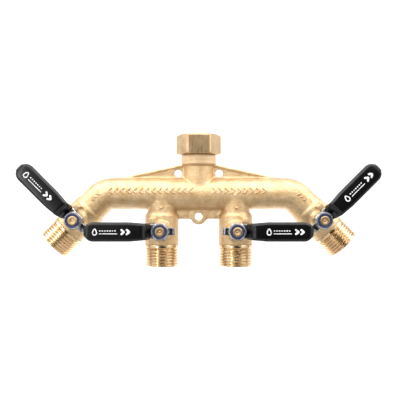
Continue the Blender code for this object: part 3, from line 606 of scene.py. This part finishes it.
# Inlet collar: the top of the casting, turned to take the tailpiece. A bright band with a groove
# and broken edges. It and every turned piece after it is a half section spun round its axis.
def eased(points, radius, steps=4):
    """A closed outline with each corner cut back by radius (less on short sides) and rounded by
    a quadratic curve, with a point on each side of the curve to keep the flats flat."""
    points = np.array(points, float)
    before = np.roll(points, 1, axis=0) - points
    after = np.roll(points, -1, axis=0) - points
    size_before = np.linalg.norm(before, axis=1, keepdims=True)
    size_after = np.linalg.norm(after, axis=1, keepdims=True)
    cut_before = np.minimum(radius, 0.3 * size_before)
    cut_after = np.minimum(radius, 0.3 * size_after)
    start = points + before / size_before * cut_before
    end = points + after / size_after * cut_after
    share = np.linspace(0, 1, steps)[None, :, None]
    curve = (
        start[:, None] * (1 - share) ** 2
        + 2 * points[:, None] * share * (1 - share)
        + end[:, None] * share**2
    )
    lead_in = points + before / size_before * cut_before * 1.5
    lead_out = points + after / size_after * cut_after * 1.5
    return np.concatenate([lead_in[:, None], curve, lead_out[:, None]], axis=1).reshape(-1, 2)


def spun(name, section, sides=96, radius=None, place=None):
    """A closed half section of (radius, height) rows turned about Z. radius, if given, changes
    each point's radius from its own radius, height and angle. place moves the points."""
    rows = len(section)
    angle = np.arange(sides) / sides * 2 * math.pi
    r = np.repeat(section[:, :1], sides, axis=1)
    height = np.repeat(section[:, 1:], sides, axis=1)
    turn = np.repeat(angle[None], rows, axis=0)
    if radius:
        r = radius(r, height, turn)
    points = np.stack([r * np.cos(turn), r * np.sin(turn), height], -1)
    length = np.linalg.norm(np.diff(section, axis=0, append=section[:1]), axis=1)
    along = np.concatenate([[0], np.cumsum(length)])
    number = np.arange(rows * sides).reshape(rows, sides)
    below = np.roll(number, -1, axis=0)
    quads = np.stack(
        [number, below, np.roll(below, -1, axis=1), np.roll(number, -1, axis=1)], -1
    )
    u = np.arange(sides) / sides
    uv = np.empty((rows, sides, 4, 2))
    uv[:, :, 0, 0] = uv[:, :, 1, 0] = u
    uv[:, :, 2, 0] = uv[:, :, 3, 0] = u + 1 / sides
    uv[:, :, 0, 1] = uv[:, :, 3, 1] = along[:-1, None]
    uv[:, :, 1, 1] = uv[:, :, 2, 1] = along[1:, None]
    flat = points.reshape(-1, 3)
    if signed_area(section) < 0:
        quads = quads[..., ::-1]
        uv = uv[:, :, ::-1]
    return meshed(name, place(flat) if place else flat, quads.reshape(-1, 4), uv=uv)


def signed_area(section):
    """Area of a closed outline by the shoelace rule, positive where it runs anticlockwise."""
    r, height = section.T
    return 0.5 * np.sum(r * np.roll(height, -1) - np.roll(r, -1) * height)


def finished(obj, material, body, slot, *nodes):
    """Gives a piece its material and the body it rides on, and hides the nodes it stands for. slot
    is not used.
    """
    obj.data.materials.clear()
    obj.data.materials.append(material)
    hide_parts(*nodes)
    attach(obj, body)


def section_split(tree):
    """A turned piece's own coordinates: X is the share of a turn, Y the millimetres along its
    section."""
    section_uv = add(tree, "ShaderNodeUVMap", {"uv_map": "UVMap"})
    return add(tree, "ShaderNodeSeparateXYZ", _0=section_uv.outputs["UV"])


# Turned free-cutting brass: bright yellow gold with fine rings left by the tool, 0.1 to 0.3 mm
# apart on the real one and drawn at 0.35 mm. The rings follow each piece's own section.
turned_brass, tree, shader = finish(
    "turned_brass", Metallic=1.0, Coat_Weight=0.6, Coat_Roughness=0.12, Coat_IOR=1.7
)
split = section_split(tree)
stretched = add(tree, "ShaderNodeCombineXYZ", Y=split.outputs["Y"])
rings = noise(tree, 2.8, 3.0, 0.7, stretched.outputs[0])
toned(tree, shader, noise(tree, 160.0, 3.0), "#d8b684", "#f2d8ae", 0.3, 0.7)
roughened(tree, shader, rings, 0.06, 0.2)
bumped(tree, shader, (rings, 0.25, 0.00015, False))

# The collar is only faced and skimmed: paler and more matt, with a coarser feed.
skimmed_brass, tree, shader = finish(
    "skimmed_cast_brass", Metallic=1.0, Coat_Weight=0.5, Coat_Roughness=0.3, Coat_IOR=1.7
)
split = section_split(tree)
stretched = add(tree, "ShaderNodeCombineXYZ", X=split.outputs["X"], Y=split.outputs["Y"])
rings = noise(tree, 2.0, 3.0, 0.6, stretched.outputs[0])
toned(tree, shader, rings, "#ccae86", "#ead2ae", 0.35, 0.65)
roughened(tree, shader, rings, 0.55, 0.75)
bumped(tree, shader, (rings, 0.5, 0.0003, False))

COLLAR_R = 13.9
COLLAR_BASE = TUBE_Z + 22.0
COLLAR_TOP = -8.3
collar_section = eased(
    [
        (10.2, COLLAR_BASE + 0.4), (10.9, COLLAR_BASE), (11.9, COLLAR_BASE),
        (COLLAR_R - 0.1, COLLAR_BASE + 1.5), (COLLAR_R, COLLAR_BASE + 1.7),
        (COLLAR_R, COLLAR_TOP - 1.3), (COLLAR_R - 0.35, COLLAR_TOP - 1.1),
        (COLLAR_R - 0.35, COLLAR_TOP - 0.8), (COLLAR_R, COLLAR_TOP - 0.6),
        (COLLAR_R - 0.3, COLLAR_TOP), (10.2, COLLAR_TOP),
    ],
    0.2,
)
collar = spun("inlet_collar", collar_section)
collar.data.materials.append(skimmed_brass)
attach(collar, "manifold")

# Tailpiece: turned brass, screwed into the collar with a hexagon key, its flange under the washer.
FLANGE_R = 11.95
TAIL_R = 9.9
TAIL_BASE = -17.8
SOCKET_FLATS = 13.9


def key_socket(r, height, turn):
    """The bore opens out to a hexagon of SOCKET_FLATS above its shoulder."""
    sector = (turn + math.pi / 6) % (math.pi / 3) - math.pi / 6
    hexagon = SOCKET_FLATS / 2 / np.cos(sector)
    return np.where((r < 7.4) & (height > -8.4), np.maximum(r, hexagon), r)


tail_section = eased(
    [
        (6.8, -3.3), (6.8, -8.3), (6.8, -8.5), (6.8, TAIL_BASE), (TAIL_R - 0.9, TAIL_BASE),
        (TAIL_R, TAIL_BASE + 0.9), (TAIL_R, -5.1), (FLANGE_R, -5.1), (FLANGE_R, -3.3),
    ],
    0.2,
)
tailpiece = spun("inlet_tailpiece_turned", tail_section, radius=key_socket)
finished(tailpiece, turned_brass, "manifold", "turned_brass", "inlet_tailpiece")


# Hose washer: a flat black EPDM ring, moulded, with slightly soft edges and a faint grey bloom.
def dappled(name, grain, tones, roughs, **sockets):
    """A material whose tone and roughness follow one noise, and its tree, shader and noise. grain
    is the noise's scale, detail and roughness; tones are two colours and where they start."""
    made, tree, shader = finish(name, **sockets)
    pattern = noise(tree, *grain)
    toned(tree, shader, pattern, *tones)
    roughened(tree, shader, pattern, *roughs)
    return made, tree, shader, pattern


epdm = dappled("moulded_epdm", (700.0, 3.0), ("#161616", "#2b2b2b"), (0.55, 0.8), Metallic=0.0)[0]
washer = spun("hose_washer_ring", eased([(8, 0), (8, -3), (11.9, -3), (11.9, 0)], 0.35))
finished(washer, epdm, "manifold", "rubber", "hose_washer")

# Swivel nut: hexagon brass bar, turned and chamfered at both ends, tapped with the hose thread.
# Its flats keep the bar's drawn skin, duller than the turned chamfers.
NUT_FLATS = 31.5
NUT_TOP = 7.9
NUT_BASE = -8.0
NUT_CORNER_R = 2.8
PITCH = 25.4 / 11.5
NUT_MINOR_R = 12.25


def thread_wave(height, turn, pitch):
    """1 on a thread's crest and 0 at its root, with straight flanks between: a triangle wave of
    height over pitch less angle over a turn, its tips clipped flat. Right-handed."""
    phase = (height / pitch - turn / (2 * math.pi)) % 1
    return np.clip((np.abs(2 * phase - 1) - 0.14) / 0.72, 0, 1)


def nut_radius(r, height, turn):
    """Outside, the lesser of the section and the hexagon: its flats are straight lines and its
    corners arcs of NUT_CORNER_R that touch them. Inside, the bore less the thread's ridges."""
    half = NUT_FLATS / 2
    centre = (half - NUT_CORNER_R) / math.cos(math.pi / 6)
    touch = math.atan2(
        NUT_CORNER_R * math.sin(math.pi / 6), centre + NUT_CORNER_R * math.cos(math.pi / 6)
    )
    from_corner = (turn + math.pi / 6) % (math.pi / 3) - math.pi / 6
    from_face = math.pi / 6 - np.abs(from_corner)
    arc = np.maximum(NUT_CORNER_R**2 - (centre * np.sin(from_corner)) ** 2, 0)
    rounded = centre * np.cos(from_corner) + np.sqrt(arc)
    hexagon = np.where(np.abs(from_corner) < touch, rounded, half / np.cos(from_face))
    fade = np.clip((height - 0.5) / 0.8, 0, 1)
    bored = np.maximum(r - thread_wave(height, turn, PITCH) * 1.25 * fade, NUT_MINOR_R)
    tapped = (height > 0.5) & (r > 13.4) & (r < 13.6)
    return np.where(r > 14.9, np.minimum(r, hexagon), np.where(tapped, bored, r))


nut_outside = eased(
    [
        (10.4, NUT_BASE), (15.9, NUT_BASE), (17.9, NUT_BASE + 0.8), (17.9, NUT_TOP - 1.5),
        (15.2, NUT_TOP), (14.3, NUT_TOP), (13.5, NUT_TOP - 0.8),
    ],
    0.3,
)[4:-2]
nut_bore = np.stack([np.full(60, 13.5), np.linspace(NUT_TOP - 1.0, 0.4, 60)], -1)
nut_inside = eased([(12.9, 0.3), (12.9, -5.4), (10.4, -5.4), (10.4, NUT_BASE)], 0.15)[3:-2]
nut_rows = np.concatenate([nut_outside, nut_bore, nut_inside])
swivel_nut = spun("swivel_nut_hexagon", nut_rows, sides=360, radius=nut_radius)

drawn_brass, tree, shader = finish("drawn_hexagon_brass", Metallic=1.0)
here = add(tree, "ShaderNodeTexCoord").outputs["Object"]
drawn = add(tree, "ShaderNodeMapping", Vector=here, Scale=(900.0, 900.0, 60.0))
streaks = noise(tree, 1.0, 4.0, place=drawn.outputs[0])
toned(tree, shader, noise(tree, 130.0, 4.0, place=here), "#c4a47a", "#e2c498", 0.3, 0.7)
roughened(tree, shader, streaks, 0.22, 0.36)
bumped(tree, shader, (streaks, 0.2, 0.0002, False))
finished(swivel_nut, drawn_brass, "inlet_nut", "turned_brass", "swivel_nut")


# The four valves are alike. Each is laid out round its ball: +Z towards the tube, the stem towards
# -Y, and the lever along +X or -X. The outer two lean with their arms.
VALVES = (
    ("outer_left", -1, -95.206, -59.747, TILT),
    ("inner_left", -1, -INNER_X, TUBE_Z - BALL_DROP, 0.0),
    ("inner_right", 1, INNER_X, TUBE_Z - BALL_DROP, 0.0),
    ("outer_right", 1, 95.206, -59.747, -TILT),
)


def on_branch(valve):
    """Moves points from a valve's axes to the splitter's: a turn about Y, then a shift."""
    _, _, x, z, tilt = valve
    return lambda points: tilted(points, tilt) + np.array([x, 0, z])


def on_stem(valve):
    """Moves points from the stem's axes (lever along +X, stem along +Z) to the splitter's."""
    side = valve[1]

    def moved(points):
        swung = np.stack([side * points[:, 0], -points[:, 2], side * points[:, 1]], -1)
        return on_branch(valve)(swung)

    return moved


# Outlet adapters: turned brass, screwed into the housings, with a plain collar, a relief groove
# and six and a half turns of male hose thread. Tool rings show on the collar and the end face.
ADAPTER_END = -28.4
THREAD_TOP = -13.9
THREAD_ROOT = 12.15
THREAD_CREST = 13.45


def adapter_radius(r, height, turn):
    """Adds the thread's ridges to the root, their crests and roots eased by a smoothstep, under a
    45 degree chamfer at the end, and lets them die out at the relief groove."""
    threaded = (r > THREAD_ROOT - 0.01) & (r < THREAD_ROOT + 0.01)
    fade = np.clip((THREAD_TOP - height) / 0.7, 0, 1)
    wave = np.clip(1.5 * thread_wave(height, turn, PITCH), 0, 1)
    ridge = THREAD_ROOT + (THREAD_CREST - THREAD_ROOT) * wave * wave * (3 - 2 * wave) * fade
    chamfer = 12.6 + (height - ADAPTER_END)
    return np.where(threaded, np.minimum(ridge, chamfer), r)


adapter_rows = np.stack(
    [np.full(240, THREAD_ROOT), np.linspace(ADAPTER_END + 0.15, THREAD_TOP, 240)], -1
)
adapter_bore = eased(
    [
        (12.2, THREAD_TOP + 0.25), (13.3, THREAD_TOP + 0.25), (13.6, THREAD_TOP + 0.55),
        (13.6, -11.5), (13.3, -11.15), (11.4, -11.15), (11.4, -6.8), (9.6, -6.8), (9.6, -9.3),
        (6.3, -9.3), (6.3, -13.8), (7.6, -15.1), (7.6, ADAPTER_END + 0.3), (7.9, ADAPTER_END),
        (11.9, ADAPTER_END),
    ],
    0.22,
)
adapter_section = np.concatenate([adapter_rows, adapter_bore])

# Chrome-plated brass balls, PTFE seats and thrust washers: mirror bright, and waxy white.
chrome = dappled(
    "chrome_plate", (400.0, 2.0), ("#d3d5d8", "#eceef0"), (0.05, 0.12), Metallic=1.0
)[0]
ptfe = dappled(
    "skived_ptfe", (300.0, 2.0), ("#e6e5e0", "#f6f6f3"), (0.35, 0.5),
    Metallic=0.0, Subsurface_Weight=0.1,
)[0]

BALL_R = 9.0
BALL_BORE_R = 5.6
SLOT_HALF = 2.2
SLOT_FLOOR = 6.6
SEAT_R = 9.25
SEAT_FACE = 9.1


def ball_section():
    """An arc of the ball from one end of its bore to the other; the section's closing side is
    the bore's wall."""
    reach = math.acos(BALL_BORE_R / BALL_R)
    angle = np.linspace(-reach, reach, 40)
    arc = np.stack([BALL_R * np.cos(angle), BALL_R * np.sin(angle)], -1)
    wall = np.stack([np.full(12, BALL_BORE_R), np.linspace(arc[-1, 1], arc[0, 1], 14)[1:-1]], -1)
    return np.concatenate([arc, wall])


def ball_laid(valve):
    """Lays the ball's bore along the lever and presses the stem's slot into its top."""

    def moved(points):
        laid = np.stack([points[:, 2], points[:, 1], -points[:, 0]], -1)
        slot = (np.abs(laid[:, 0]) < SLOT_HALF) & (laid[:, 2] > SLOT_FLOOR)
        laid[:, 2] = np.where(slot, SLOT_FLOOR, laid[:, 2])
        return on_stem(valve)(laid)

    return moved


def seat_section():
    """A ring hollowed to the ball's radius on its inner face."""
    angle = np.arcsin(np.linspace(WATERWAY_R, 8.3, 10) / (BALL_R + 0.05))
    hollow = np.stack([np.sin(angle), np.cos(angle)], -1) * (BALL_R + 0.05)
    rim = np.array([(SEAT_R, hollow[-1, 1]), (SEAT_R, SEAT_FACE), (WATERWAY_R, SEAT_FACE)])
    return np.concatenate([hollow, rim])


def flipped(valve):
    """The seat below the ball: the same ring turned over."""
    return lambda points: on_branch(valve)(points * np.array([1, -1, -1]))


# Stems: cut from drawn brass bar, as dull as the nut, with an inner shoulder, a blade that drives
# the ball, flats for the lever and an M8 thread for the lock nut. Only the dimpled end shows.
BLADE_HALF = 1.85
FLATS_HALF = 3.0
STEM_PITCH = 1.25


def stem_radius(r, height, turn):
    """The blade below the shoulder and the flats above the boss cut the round to two planes."""
    blade = BLADE_HALF / np.maximum(np.abs(np.cos(turn)), 1e-3)
    flats = FLATS_HALF / np.maximum(np.abs(np.sin(turn)), 1e-3)
    r = np.where(height < 9.25, np.minimum(r, blade), r)
    keyed = (height > 16.9) & (height < 24.5)
    screwed = (height > 25.0) & (height < 27.75) & (r > 3.6)
    ridge = r - 0.4 * (1 - thread_wave(height, turn, STEM_PITCH))
    return np.where(keyed, np.minimum(r, flats), np.where(screwed, ridge, r))


stem_outline = eased(
    [
        (0.0, 28.15), (0.0, 6.9), (4.2, 6.9), (4.2, 9.2), (5.9, 9.3), (5.9, 11.3), (4.35, 11.3),
        (4.35, 14.1), (3.3, 14.1), (3.3, 15.3), (4.35, 15.3), (4.35, 16.9), (3.95, 17.0),
        (3.95, 24.5), (3.95, 25.0),
    ],
    0.12,
)
stem_end = np.stack([np.full(24, 3.65), np.linspace(25.2, 27.7, 24)], -1)
stem_tip = [(3.5, 28.0), (3.2, 28.32), (3.08, 28.36), (2.9, 28.38), (2.1, 28.38), (1.95, 28.34)]
stem_tip = np.array([*stem_tip, (1.8, 28.1), (1.6, 27.2), (1.4, 27.0), (0.6, 26.9)])
stem_section = np.concatenate([stem_outline[3:-1], stem_end, stem_tip])
stem_section[:, 0] = np.maximum(stem_section[:, 0], 0.02)

# Levers: 2.3 mm steel pressed to a cranked blade with a round hub and a turned-down tongue that
# meets the stop lug, then bright zinc plated: bluish white with a fine crystalline cloud.
zinc, tree, shader, cloud = dappled(
    "bright_zinc_plate", (350.0, 5.0, 0.6), ("#6c6e75", "#bcbcc0", 0.3, 0.7), (0.08, 0.2),
    Metallic=1.0,
)
bumped(tree, shader, (cloud, 0.12, 0.0002, False))

LEVER_T = 2.3
LEVER_MID = 18.35
HUB_R = 6.6
CRANK_START = 8.6
CRANK_END = 14.0
CRANK_RISE = 7.0
TONGUE_X = -8.6
TONGUE_BEND = 1.4
LEVER_TIP = 56.3
HANDLE_R = 6.05


def lever_line(along):
    """Middle of the plate at each distance along it, as (x, height): up the tongue, round a
    bend, flat past the hub, up the crank's smooth S and flat to the tip."""
    x = np.maximum(along, TONGUE_X)
    share = np.clip((x - CRANK_START) / (CRANK_END - CRANK_START), 0, 1)
    height = LEVER_MID + CRANK_RISE * share * share * (3 - 2 * share)
    drop = np.maximum(TONGUE_X - along, 0)
    angle = np.clip(drop / TONGUE_BEND, 0, math.pi / 2)
    x = x - TONGUE_BEND * np.sin(angle)
    past = np.maximum(drop - TONGUE_BEND * math.pi / 2, 0)
    return x, height - TONGUE_BEND * (1 - np.cos(angle)) - past


def lever_half_width(x):
    """Half the plate's width: the tongue, a round hub, a short neck, a slow widening, and a
    round tip."""
    hub = np.sqrt(np.maximum(HUB_R**2 - x**2, 0))
    blade = 4.8 + 1.25 * np.clip((x - CRANK_START) / 14.0, 0, 1)
    body = np.where(x < 2.0, np.maximum(hub, 3.0), np.maximum(hub, blade))
    neck = np.where((x >= 2.0) & (x < CRANK_START), np.maximum(body, 5.5), body)
    past = np.maximum(x - (LEVER_TIP - HANDLE_R), 0)
    tip = np.sqrt(np.maximum(HANDLE_R**2 - past**2, 0))
    return np.minimum(neck, np.where(past > 0, tip, 99))


def banded(name, x, height, half_width, half_depth, edge, place, corner=5):
    """A rounded rectangle carried along a line in the XZ plane: at each station it stands square
    to the line, half_width each side and half_depth thick, its corners rounded by edge."""
    slope_x = np.gradient(x)
    slope_z = np.gradient(height)
    size = np.maximum(np.hypot(slope_x, slope_z), 1e-9)
    normal_x, normal_z = -slope_z / size, slope_x / size
    phi = np.linspace(0, math.pi / 2, corner)
    quarter = np.concatenate([phi, phi + math.pi / 2, phi + math.pi, phi + 1.5 * math.pi])
    sign_v = np.repeat([1, -1, -1, 1], corner)
    sign_n = np.repeat([1, 1, -1, -1], corner)
    edge = np.minimum(edge, np.minimum(half_width, half_depth))[:, None]
    v = sign_v * (half_width[:, None] - edge) + edge * np.cos(quarter)
    n = sign_n * (half_depth[:, None] - edge) + edge * np.sin(quarter)
    points = np.stack(
        [x[:, None] + n * normal_x[:, None], v, height[:, None] + n * normal_z[:, None]], -1
    )
    flat = np.concatenate([points.reshape(-1, 3), points[[0, -1]].mean(axis=1)])
    return meshed(name, place(flat), *closed_tube(*v.shape))


tongue = TONGUE_X - np.linspace(5.0, 0.0, 16)
shank = np.linspace(TONGUE_X + 0.3, LEVER_TIP - HANDLE_R, 120)
round_end = LEVER_TIP - HANDLE_R + HANDLE_R * np.sin(np.linspace(0, math.pi / 2, 16)[1:])
lever_along = np.concatenate([tongue, shank, round_end])
lever_x, lever_height = lever_line(lever_along)
lever_half = np.maximum(lever_half_width(lever_x), 0.05)
lever_depth = np.full(len(lever_x), LEVER_T / 2)
lever_edge = np.full(len(lever_x), 0.45)

# Grips: black PVC dipped over each lever's blade, 1.3 mm thick: semi-gloss with a soft orange
# peel, round edges, a rolled lip at the hub and a round tip.
vinyl, tree, shader, _ = dappled(
    "dipped_black_vinyl", (60.0, 4.0), ("#050506", "#0b0b0c"), (0.16, 0.24),
    Metallic=0.0, IOR=1.5,
)
bumped(tree, shader, (noise(tree, 260.0, 3.0), 0.08, 0.0004, False))

GRIP_START = 9.0
GRIP_TIP = 57.8
GRIP_R = 7.4
GRIP_WALL = 1.3
GRIP_BEVEL = 2.1


def grip_half_width(x, less):
    """Half the grip's width at x: widening from the hub to a round tip, less its wall inside."""
    side = 6.2 + (GRIP_R - 6.2) * np.clip((x - GRIP_START) / 14.0, 0, 1) - less
    tip_r = GRIP_R - less
    past = np.maximum(x - (GRIP_TIP - GRIP_R), 0)
    return np.where(past > 0, np.sqrt(np.maximum(tip_r**2 - past**2, 0)), side)


def grip_stations(less):
    """Distances along the grip, from its mouth to its tip less the wall, closer at the tip."""
    straight = np.linspace(GRIP_START, GRIP_TIP - GRIP_R, 60)
    turn = np.sin(np.linspace(0, math.pi / 2, 20)[1:])
    return np.concatenate([straight, GRIP_TIP - GRIP_R + (GRIP_R - less) * turn])


outer_x = grip_stations(0.0)
inner_x = grip_stations(GRIP_WALL)[::-1]
grip_along = np.concatenate([inner_x, [GRIP_START - 0.25], outer_x])
grip_x, grip_height = lever_line(grip_along)
outer_depth = np.interp(GRIP_TIP - outer_x, [0, 0.3, 1.2, 3.0], [0.4, 1.4, 2.2, 2.6])
inner_half, outer_half = grip_half_width(inner_x, GRIP_WALL), grip_half_width(outer_x, 0.0)
grip_half = np.concatenate([inner_half, [5.75], outer_half])
grip_depth = np.concatenate([np.full(len(inner_x), GRIP_WALL), [1.95], outer_depth])
grip_half = np.maximum(grip_half, 0.05)
grip_edge = np.where(grip_depth > GRIP_BEVEL, GRIP_BEVEL, 0.6)

# Lock nuts: M8 zinc-plated steel with a collar crimped over a blue nylon ring.
LOCK_FLATS = 13.0


def lock_radius(r, height, turn):
    """The lesser of the section and a hexagon with slightly rounded corners, below the collar."""
    faces = (np.arange(6) + 0.5) * math.pi / 3
    lean = np.maximum(np.cos(turn[..., None] - faces), 0)
    hexagon = LOCK_FLATS / 2 / (lean**60).sum(-1) ** (1 / 60)
    return np.where(r > 6.25, np.minimum(r, hexagon), r)


lock_section = eased(
    [
        (4.1, 19.8), (6.2, 19.8), (7.5, 20.4), (7.5, 24.6), (6.5, 25.3), (6.2, 25.4),
        (6.15, 27.0), (5.8, 27.75), (5.35, 27.75), (5.3, 27.3), (5.3, 26.0), (4.1, 26.0),
    ],
    0.18,
)
nylon_section = eased([(3.7, 26.1), (5.25, 26.1), (5.25, 27.2), (4.6, 27.35), (3.7, 27.1)], 0.12)

nylon = dappled(
    "moulded_blue_nylon", (900.0, 2.0), ("#1a2344", "#2f3f72"), (0.35, 0.5), Metallic=0.0
)[0]

o_ring_turn = np.arange(12) / 12 * 2 * math.pi
o_ring_section = np.stack([3.85 + 0.5 * np.cos(o_ring_turn), 14.7 + 0.5 * np.sin(o_ring_turn)], -1)
thrust_section = eased([(4.45, 11.6), (5.9, 11.6), (5.9, 12.5), (4.45, 12.5)], 0.12)

# Grip print: pad-printed white ink, a droplet, a row of dashes over a rule, and two chevrons.
ink = dappled(
    "white_pad_print", (500.0, 3.0), ("#b4b4b6", "#f4f4f4", 0.3, 0.55), (0.35, 0.55),
    Metallic=0.0,
)[0]

PRINT_MIDDLE = 36.3
PRINT_FACE = 27.97
PRINT_RISE = 0.07
drop_turn = np.linspace(0, 2 * math.pi, 25)
drop = np.stack(
    [
        -12.6 + 2.0 * np.sin(drop_turn) * np.sin(drop_turn / 2),
        0.2 - 2.4 * np.cos(drop_turn + math.pi),
    ],
    -1,
)
dashes = [[(x, 0.9), (x + 1.2, 0.9)] for x in np.arange(-9.2, 4.0, 1.9)]
rule = [(-9.2, -1.3), (4.6, -1.3)]
arrows = [[(x, 2.0), (x + 2.6, 0.0), (x, -2.0)] for x in (7.0, 11.0)]


def printed(valve):
    """The print's strokes, readable from the front on either hand."""
    side = valve[1]

    def placed(u, v):
        points = np.stack([PRINT_MIDDLE + side * u, side * v, 0 * u + PRINT_FACE], -1)
        return points, np.stack([0 * u, 0 * u, 0 * u + 1.0], -1)

    lines = [(drop, 0.42), *((dash, 0.5) for dash in dashes), (rule, 0.3)]
    lines += [(arrow, 0.8) for arrow in arrows]
    strokes = [bead(line, placed, half, PRINT_RISE) for line, half in lines]
    move = on_stem(valve)
    return beaded(f"{valve[0]}_grip_print", [(move(f), quads, ends) for f, quads, ends in strokes])


# Each valve's pieces, in place. What turns with the lever rides on the valve's own body.
for valve in VALVES:
    name = valve[0]
    turning = f"{name}_valve"
    branch, stem_axis = on_branch(valve), on_stem(valve)
    piece = printed(valve)
    piece.data.materials.append(ink)
    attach(piece, f"{name}_valve")
    piece = spun(f"{name}_threaded_outlet", adapter_section, 192, adapter_radius, branch)
    finished(piece, turned_brass, "manifold", "turned_brass", f"{name}_outlet_adapter")
    piece = spun(f"{name}_seat_above", seat_section(), 64, place=branch)
    finished(piece, ptfe, "manifold", "ptfe", f"{name}_upstream_seat")
    piece = spun(f"{name}_seat_below", seat_section(), 64, place=flipped(valve))
    finished(piece, ptfe, "manifold", "ptfe", f"{name}_downstream_seat")
    piece = spun(f"{name}_thrust_ring", thrust_section, 48, place=stem_axis)
    finished(piece, ptfe, "manifold", "ptfe", f"{name}_thrust_washer")
    piece = spun(f"{name}_chromed_ball", ball_section(), 96, place=ball_laid(valve))
    finished(piece, chrome, turning, "chrome", f"{name}_ball")
    piece = spun(f"{name}_turned_stem", stem_section, 72, stem_radius, stem_axis)
    finished(piece, drawn_brass, turning, "turned_brass", f"{name}_stem")
    piece = spun(f"{name}_stem_seal", o_ring_section, 48, place=stem_axis)
    finished(piece, epdm, turning, "rubber", f"{name}_stem_o_ring")
    plate = (lever_x, lever_height, lever_half, lever_depth, lever_edge)
    piece = banded(f"{name}_plated_lever", *plate, stem_axis)
    finished(piece, zinc, turning, "plated_steel", f"{name}_lever")
    sleeve = (grip_x, grip_height, grip_half, grip_depth, grip_edge)
    piece = banded(f"{name}_vinyl_grip", *sleeve, stem_axis, corner=7)
    finished(piece, vinyl, turning, "vinyl", f"{name}_grip")
    piece = spun(f"{name}_hexagon_lock_nut", lock_section, 120, lock_radius, stem_axis)
    finished(piece, zinc, turning, "plated_steel", f"{name}_lock_nut")
    piece = spun(f"{name}_nylon_ring", nylon_section, 64, place=stem_axis)
    finished(piece, nylon, turning, "nylon", f"{name}_nylon_insert")
